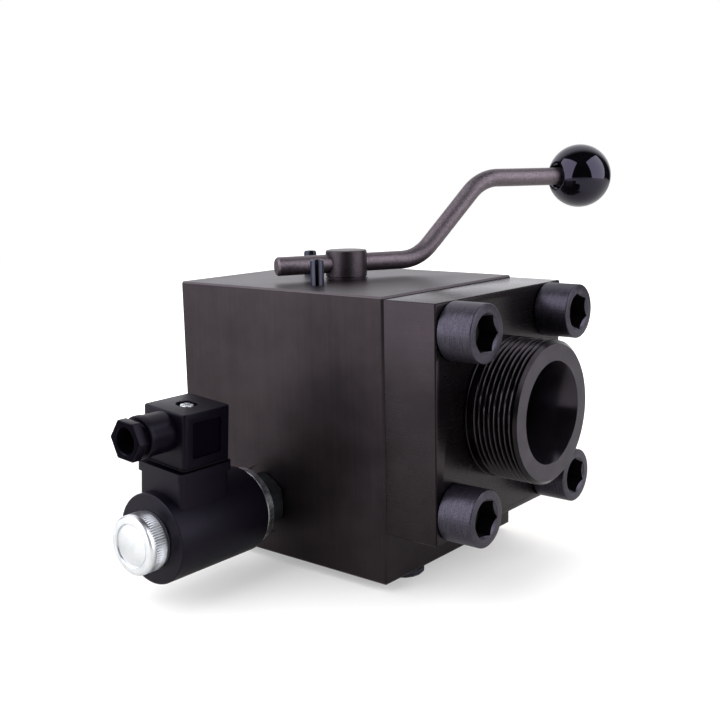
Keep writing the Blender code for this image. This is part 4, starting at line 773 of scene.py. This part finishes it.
def moulded(name, colour, rough, size, depth, sheen=0.14):
    """Moulded plastic or rubber with a fine grain from the mould and a slight cloud in its gloss."""
    made, tree, shader = finish(name, colour, rough)
    shader.inputs["Specular IOR Level"].default_value = sheen
    shader.inputs["Specular Tint"].default_value = srgb("e6dff5")
    cloud = grain(tree, 16)
    add(tree, "MapRange", {"Value": cloud, "To Min": rough - 0.06, "To Max": rough + 0.06},
        feeds=shader.inputs["Roughness"])
    add(tree, "Bump", {"Height": grain(tree, size), "Distance": depth * MM, "Strength": 0.7},
        feeds=shader.inputs["Normal"])
    return made


potting = moulded("glass_filled_nylon", "09070e", 0.42, 0.7, 0.03, 0.17)
show(moulding, potting, "block", "coil", sharp=28)
# The lip's top, the plug's panels and the gland's front get a duller, blacker nylon. In the plug's
# recessed panels the blacker colour is painted shade.
dull_and_shaded_nylon = moulded("dull_black_nylon_and_painted_shade", "040308", 0.7, 0.5, 0.01, 0.03)
refinish(moulding, dull_and_shaded_nylon, lambda spot, normal: normal.y > 0.9 and spot.y > SOCKET_TOP - 0.1)

# Coil nut and end plate: zinc-plated steel, the nut bright and the plate dull. The nut has a straight
# knurl of fine teeth behind a plain rounded front, and a fine ring turned in its face.
NUT_RADIUS, NUT_ROUND, NUT_WAIST = 12.35, 1.6, 0.5
KNURL_TEETH, KNURL_DEPTH, KNURL_START, KNURL_END = 72, 0.4, 1.7, 3.0
NUT_POCKET, POCKET_DEPTH = 10.0, 1.9
NUT_BORE, NUT_BORE_DEPTH = 6.3, 7.2
FACE_RING = ((0, 0.3), (8.1, 0.3), (8.4, 0.45), (8.5, 0.8), (8.8, 0.8), (8.9, 0.3), (9.2, 0))
PLATE_RADIUS, PLATE_CHAMFER = 17, 1.1
nut_low, nut_high = (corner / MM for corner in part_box("coil_nut"))
NUT_FACE, NUT_SEAT = -nut_low.y, -nut_high.y
knurl = (NUT_SEAT + KNURL_START, NUT_FACE - KNURL_END)


def knurled(radius, height, angle):
    """Press the straight teeth into the rear of the nut's rim."""
    if radius < NUT_RADIUS - 0.01 or not knurl[0] <= height <= knurl[1]:
        return radius, height
    wave = abs((angle * KNURL_TEETH / (2 * math.pi)) % 1.0 - 0.5) * 2
    return radius - KNURL_DEPTH * wave, height


profile = [(radius, NUT_FACE - depth) for radius, depth in FACE_RING]
profile.append((NUT_RADIUS - NUT_ROUND, NUT_FACE))
profile += arc((NUT_RADIUS - NUT_ROUND, NUT_FACE - NUT_ROUND), NUT_ROUND, 80, 0, 7)
profile += [(NUT_RADIUS, knurl[1] + 0.1), (NUT_RADIUS, knurl[1]), (NUT_RADIUS, (knurl[0] + knurl[1]) / 2),
            (NUT_RADIUS, knurl[0]), (NUT_RADIUS - 0.3, knurl[0] - 0.1),
            (NUT_RADIUS - NUT_WAIST, NUT_SEAT + 1.3), (NUT_RADIUS - NUT_WAIST, NUT_SEAT),
            (NUT_POCKET, NUT_SEAT), (NUT_POCKET, NUT_SEAT + POCKET_DEPTH),
            (NUT_BORE, NUT_SEAT + POCKET_DEPTH), (NUT_BORE, NUT_SEAT + NUT_BORE_DEPTH),
            (0, NUT_SEAT + NUT_BORE_DEPTH)]
nut = solid("knurled_nut", revolve(profile, KNURL_TEETH * 6, shape=knurled), coil_place)
show(nut, bright_zinc, "block", "coil_nut", sharp=38)
plate_low, plate_high = (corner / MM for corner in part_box("coil_end_plate"))
front, rear = -plate_low.y, -plate_high.y
plate_flat = PLATE_RADIUS - PLATE_CHAMFER
profile = [(COIL_BORE, front), (plate_flat, front), (PLATE_RADIUS, front - PLATE_CHAMFER),
           (PLATE_RADIUS, rear + 0.4), (PLATE_RADIUS - 0.4, rear), (COIL_BORE, rear)]
disc = solid("end_plate_disc", revolve(profile, 128, ring=True), coil_place)
show(disc, dull_zinc, "block", "coil_end_plate")
# The plate's rim shows bright speckles through a dark film: scuffs, and with them a painted highlight along
# the rim.
scuffed_highlit_zinc = zinc_plate("zinc_rim_scuffs_and_painted_highlight", "31373a", "e6e9ea", 0.34)
refinish(disc, scuffed_highlit_zinc, lambda spot, _: spot.xy.length > plate_flat)

# Connector plug: moulded nylon housing with rounded edges, a recessed panel on each side, and a round
# neck. It sits on a flat rubber gasket, held by one cross-slot screw in a counterbore.
PLUG_HALF, PLUG_TOP, PLUG_CORNER, PLUG_RIM, PLUG_WALL = 12.35, 53.0, 1.6, 0.8, 2
GASKET_ROOM = 1.2
NECK_Y, NECK_RADIUS, NECK_LENGTH, NECK_BORE = 44.0, 8.75, 12.9, 6.9
NECK_WAIST, NECK_RING = 0.35, (2.6, 2.9)
COUNTERBORE, COUNTERBORE_MOUTH, COUNTERBORE_DEPTH, SCREW_HOLE = 4.4, 5.2, 2.4, 1.9
PANEL_DEPTH, PANEL_CORNER = 1.0, 0.8
PANEL_FOOT, PANEL_TOP, PANEL_REAR, PANEL_FRONT = 3.5, 4, 5, 4.5
PLUG_MIDDLE = (SOCKET_FRONT + SOCKET_BACK) / 2 - 1.0
PLUG_FOOT = SOCKET_TOP + GASKET_ROOM
plug_rear, plug_front = PLUG_MIDDLE - PLUG_HALF, PLUG_MIDDLE + PLUG_HALF
NECK_END = plug_front + NECK_LENGTH
shell_low, shell_high = (-PLUG_HALF, PLUG_FOOT, plug_rear), (PLUG_HALF, PLUG_TOP, plug_front)
shell = bevelled_box(shell_low, shell_high, PLUG_CORNER, 6, along=1)
soften(shell, [e for e in shell.edges if all(abs(v.co.y - PLUG_TOP) < 1e-4 for v in e.verts)], PLUG_RIM)
housing = solid("connector_housing", shell, coil_place)
neck_place = coil_place @ Matrix.Translation((0, NECK_Y * MM, 0))
profile = [(0, NECK_END), (NECK_RADIUS - 0.5, NECK_END)]
profile += arc((NECK_RADIUS - 0.5, NECK_END - 0.5), 0.5, 70, 0, 3)
profile += [(NECK_RADIUS, NECK_END - NECK_RING[0]), (NECK_RADIUS - NECK_WAIST, NECK_END - NECK_RING[1]),
            (NECK_RADIUS - NECK_WAIST, PLUG_MIDDLE), (0, PLUG_MIDDLE)]
combine(housing, "UNION", solid("neck", revolve(profile, 96), neck_place))
upright = Matrix.Rotation(-math.pi / 2, 4, "X")
screw_place = coil_place @ Matrix.Translation((0, 0, PLUG_MIDDLE * MM)) @ upright
ledge = PLUG_TOP - COUNTERBORE_DEPTH
inside = PLUG_HALF - PLUG_WALL
room_low = (-inside, PLUG_FOOT - 1, PLUG_MIDDLE - inside)
room_high = (inside, ledge - 2, PLUG_MIDDLE + inside)
cavity = solid("cavity", bevelled_box(room_low, room_high, 0.5, 1, along=1), coil_place)
neck_bore = cylinder("neck_bore", NECK_BORE, NECK_END + 1, PLUG_MIDDLE + inside - 1, neck_place)
profile = [(0, PLUG_TOP + 1), (COUNTERBORE_MOUTH, PLUG_TOP + 1), (COUNTERBORE, PLUG_TOP - 0.4),
           (COUNTERBORE, ledge), (SCREW_HOLE, ledge), (SCREW_HOLE, ledge - 3), (0, ledge - 3)]
counterbore = solid("counterbore", revolve(profile, 64), screw_place)
panels = []
for way in (-1, 1):
    low_x, high_x = sorted((way * (PLUG_HALF - PANEL_DEPTH), way * (PLUG_HALF + 1)))
    panel_low = (low_x, PLUG_FOOT + PANEL_FOOT, plug_rear + PANEL_REAR)
    panel_high = (high_x, PLUG_TOP - PANEL_TOP, plug_front - PANEL_FRONT)
    panels.append(solid("panel", bevelled_box(panel_low, panel_high, PANEL_CORNER, 3, along=0), coil_place))
combine(housing, "DIFFERENCE", cavity, neck_bore, counterbore, *panels)
nylon = moulded("moulded_black_nylon", "07050c", 0.34, 0.5, 0.015, 0.12)
show(housing, nylon, "block", "plug_housing", sharp=28)
panel_floor = PLUG_HALF - PANEL_DEPTH
# The recessed panels' floors are painted blacker: painted shade.
refinish(housing, dull_and_shaded_nylon,
         lambda spot, normal: abs(normal.x) > 0.9 and abs(abs(spot.x) - panel_floor) < 0.1)

# Plug screw: a cheese-head screw, bright zinc-plated, with a round-edged head and a crossed slot. It
# goes down through the plug into the coil's socket box.
HEAD_FLAT, HEAD_ROUND, HEAD_RISE, SCREW_SHANK, SCREW_DEPTH = 2.3, 0.6, 1.8, 1.5, 6
CROSS_HALF, SLOT_HALF, CROSS_FLOOR = 3.4, 0.35, 0.8
seat = ledge + 0.3
profile = [(0, seat + HEAD_RISE), (HEAD_FLAT, seat + HEAD_RISE)]
profile += arc((HEAD_FLAT, seat + HEAD_RISE - HEAD_ROUND), HEAD_ROUND, 80, 0, 4)
profile += [(HEAD_FLAT + HEAD_ROUND, seat), (SCREW_SHANK, seat), (SCREW_SHANK, SOCKET_TOP - SCREW_DEPTH),
            (0, SOCKET_TOP - SCREW_DEPTH)]
cheese = solid("cross_slot_screw", revolve(profile, 48), screw_place)
for x, y in ((CROSS_HALF, SLOT_HALF), (SLOT_HALF, CROSS_HALF)):
    cross = bevelled_box((-x, -y, seat + CROSS_FLOOR), (x, y, seat + 3), 0.05, 1)
    combine(cheese, "DIFFERENCE", solid("cross", cross, screw_place))
show(cheese, bright_zinc, "block", "plug_screw")

# Gland nut: moulded nylon hexagon with narrow rounded edges and an open cable hole. A turn of its thread
# shows between it and the neck.
GLAND_ACROSS, GLAND_LENGTH, GLAND_EDGE, GLAND_GAP = 15.4, 4.4, 0.45, 1.9
STEM_RADIUS, STEM_START, STEM_END = 6.6, 1, 6
GLAND_PITCH, GLAND_WAVE = 1.41, 0.28
CABLE_HOLE, CABLE_FLARE = 5.35, 1.0
nut_start = NECK_END + GLAND_GAP
nut_end = nut_start + GLAND_LENGTH
bar = hexagon(GLAND_ACROSS, nut_start, nut_end)
soften(bar, list(bar.edges), GLAND_EDGE)
gland = solid("gland_hexagon", bar, neck_place)


def gland_thread(radius, height, angle):
    """Wind a shallow rounded thread round the stem."""
    if radius < STEM_RADIUS:
        return radius, height
    return radius - GLAND_WAVE * (1 - math.cos(2 * math.pi * height / GLAND_PITCH - angle)), height


top, length = nut_start + STEM_START, GLAND_GAP + STEM_START + STEM_END
profile = [(0, top)] + [(STEM_RADIUS, top - length * i / 60) for i in range(61)]
profile.append((0, NECK_END - STEM_END))
combine(gland, "UNION", solid("stem", revolve(profile, 64, shape=gland_thread), neck_place))
way_end = NECK_END - STEM_END - 1
profile = [(0, nut_end + 1), (CABLE_HOLE + CABLE_FLARE, nut_end + 1), (CABLE_HOLE, nut_end - 0.5),
           (CABLE_HOLE, way_end), (0, way_end)]
combine(gland, "DIFFERENCE", solid("cable_way", revolve(profile, 64), neck_place))
show(gland, nylon, "block", "gland_nut", sharp=28)
refinish(gland, dull_and_shaded_nylon, lambda spot, normal: normal.z > 0.9 and spot.z > nut_end - 0.1)

# Relief valve: zinc-plated cartridge on the back face, with its adjuster and lock nut. All are turned
# from hexagon bar.
dress(bright_zinc, "relief_body", "relief_adjuster", "relief_locknut")

# Base plugs: blackened steel collar plugs that close the cross drillings in the underside. The block
# stands on their collars.
dress(screw_oxide, "base_plug_1", "base_plug_2", "base_plug_3", "base_plug_4")

# Inner steel: the ball, its seat sleeve, the armature with its tube, and the two poppets. They are
# ground, which leaves a faint grain in one direction.
ground_steel, tree, shader = finish("ground_steel", "c4c5c8", 0.24, 1.0)
grind = grain(tree, 0.6, (1, 12, 1))
add(tree, "MapRange", {"Value": grind, "To Min": 0.18, "To Max": 0.34}, feeds=shader.inputs["Roughness"])
dress(ground_steel, "valve_ball", "seat_sleeve", "armature_tube", "armature", "valve_poppet",
      "relief_poppet")

# Springs: wound from blued round wire, with closed end coils. Each rides on the piece that it pushes.
ARMATURE_WIRE, ARMATURE_TURNS, ARMATURE_STROKE = 0.45, 6, 2.0
RELIEF_WIRE, RELIEF_TURNS, RELIEF_LIFT = 0.8, 5, 3.0
CLOSED_TURNS, TURN_STEPS, WIRE_SIDES = 0.8, 36, 12
ALONG = Vector((0, 1, 0))


def wound(node, wire, turns):
    """A helix of round wire along Y that fills a construction spring's box, in millimetres."""
    low, high = (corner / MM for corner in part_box(node))
    middle, radius = (low + high) / 2, (high.x - low.x) / 2 - wire
    bm = bmesh.new()
    rings = []
    for i in range(turns * TURN_STEPS + 1):
        turn = i / TURN_STEPS
        angle = 2 * math.pi * turn
        rise = min(1.0, max(0.0, (turn - CLOSED_TURNS) / (turns - 2 * CLOSED_TURNS)))
        height = low.y + wire + (high.y - low.y - 2 * wire) * rise
        out = Vector((math.cos(angle), 0, math.sin(angle)))
        heart = Vector((middle.x, height, middle.z)) + out * radius
        ring = []
        for k in range(WIRE_SIDES):
            round_wire = 2 * math.pi * k / WIRE_SIDES
            rim = heart + wire * (math.cos(round_wire) * out + math.sin(round_wire) * ALONG)
            ring.append(bm.verts.new(rim))
        rings.append(ring)
    return solid(node + "_coil", join_rings(bm, rings), Matrix())


low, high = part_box("armature_spring")
coil_spring = wound("armature_spring", ARMATURE_WIRE, ARMATURE_TURNS)
show(coil_spring, blued_spring, "solenoid_armature", "armature_spring")
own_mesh(coil_spring)
low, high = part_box("relief_spring")
coil_spring = wound("relief_spring", RELIEF_WIRE, RELIEF_TURNS)
show(coil_spring, blued_spring, "relief_piston", "relief_spring")
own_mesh(coil_spring)

# Seats, seals and the plug's contacts: turned acetal with faint tool lines, matt nitrile rubber,
# slightly tarnished stamped brass, and the grey nylon that holds the contacts.
acetal, tree, shader = finish("turned_acetal", "e2ded2", 0.42)
tool_lines = grain(tree, 0.5, (10, 1, 1), 2.0)
add(tree, "Bump", {"Height": tool_lines, "Distance": 0.01 * MM}, feeds=shader.inputs["Normal"])
dress(acetal, "ball_seat_outlet", "ball_seat_inlet", "thrust_washer")
nitrile = moulded("nitrile_rubber", "0c0c0d", 0.66, 0.8, 0.02)
dress(nitrile, "flange_seal", "spindle_seal_1", "spindle_seal_2", "cartridge_seal_1", "cartridge_seal_2",
      "coil_seal", "plug_gasket", "gland_seal", "relief_seal")
brass, tree, shader = finish("stamped_brass", "d9b56a", 0.28, 1.0)
tarnish = grain(tree, 3)
add(tree, "MapRange", {"Value": tarnish, "To Min": 0.2, "To Max": 0.4}, feeds=shader.inputs["Roughness"])
dress(brass, "contact_blade_1", "contact_blade_2", "earth_blade")
grey_nylon = moulded("moulded_grey_nylon", "a0a09c", 0.5, 0.6, 0.015)
dress(grey_nylon, "plug_insert", "gland_washer")
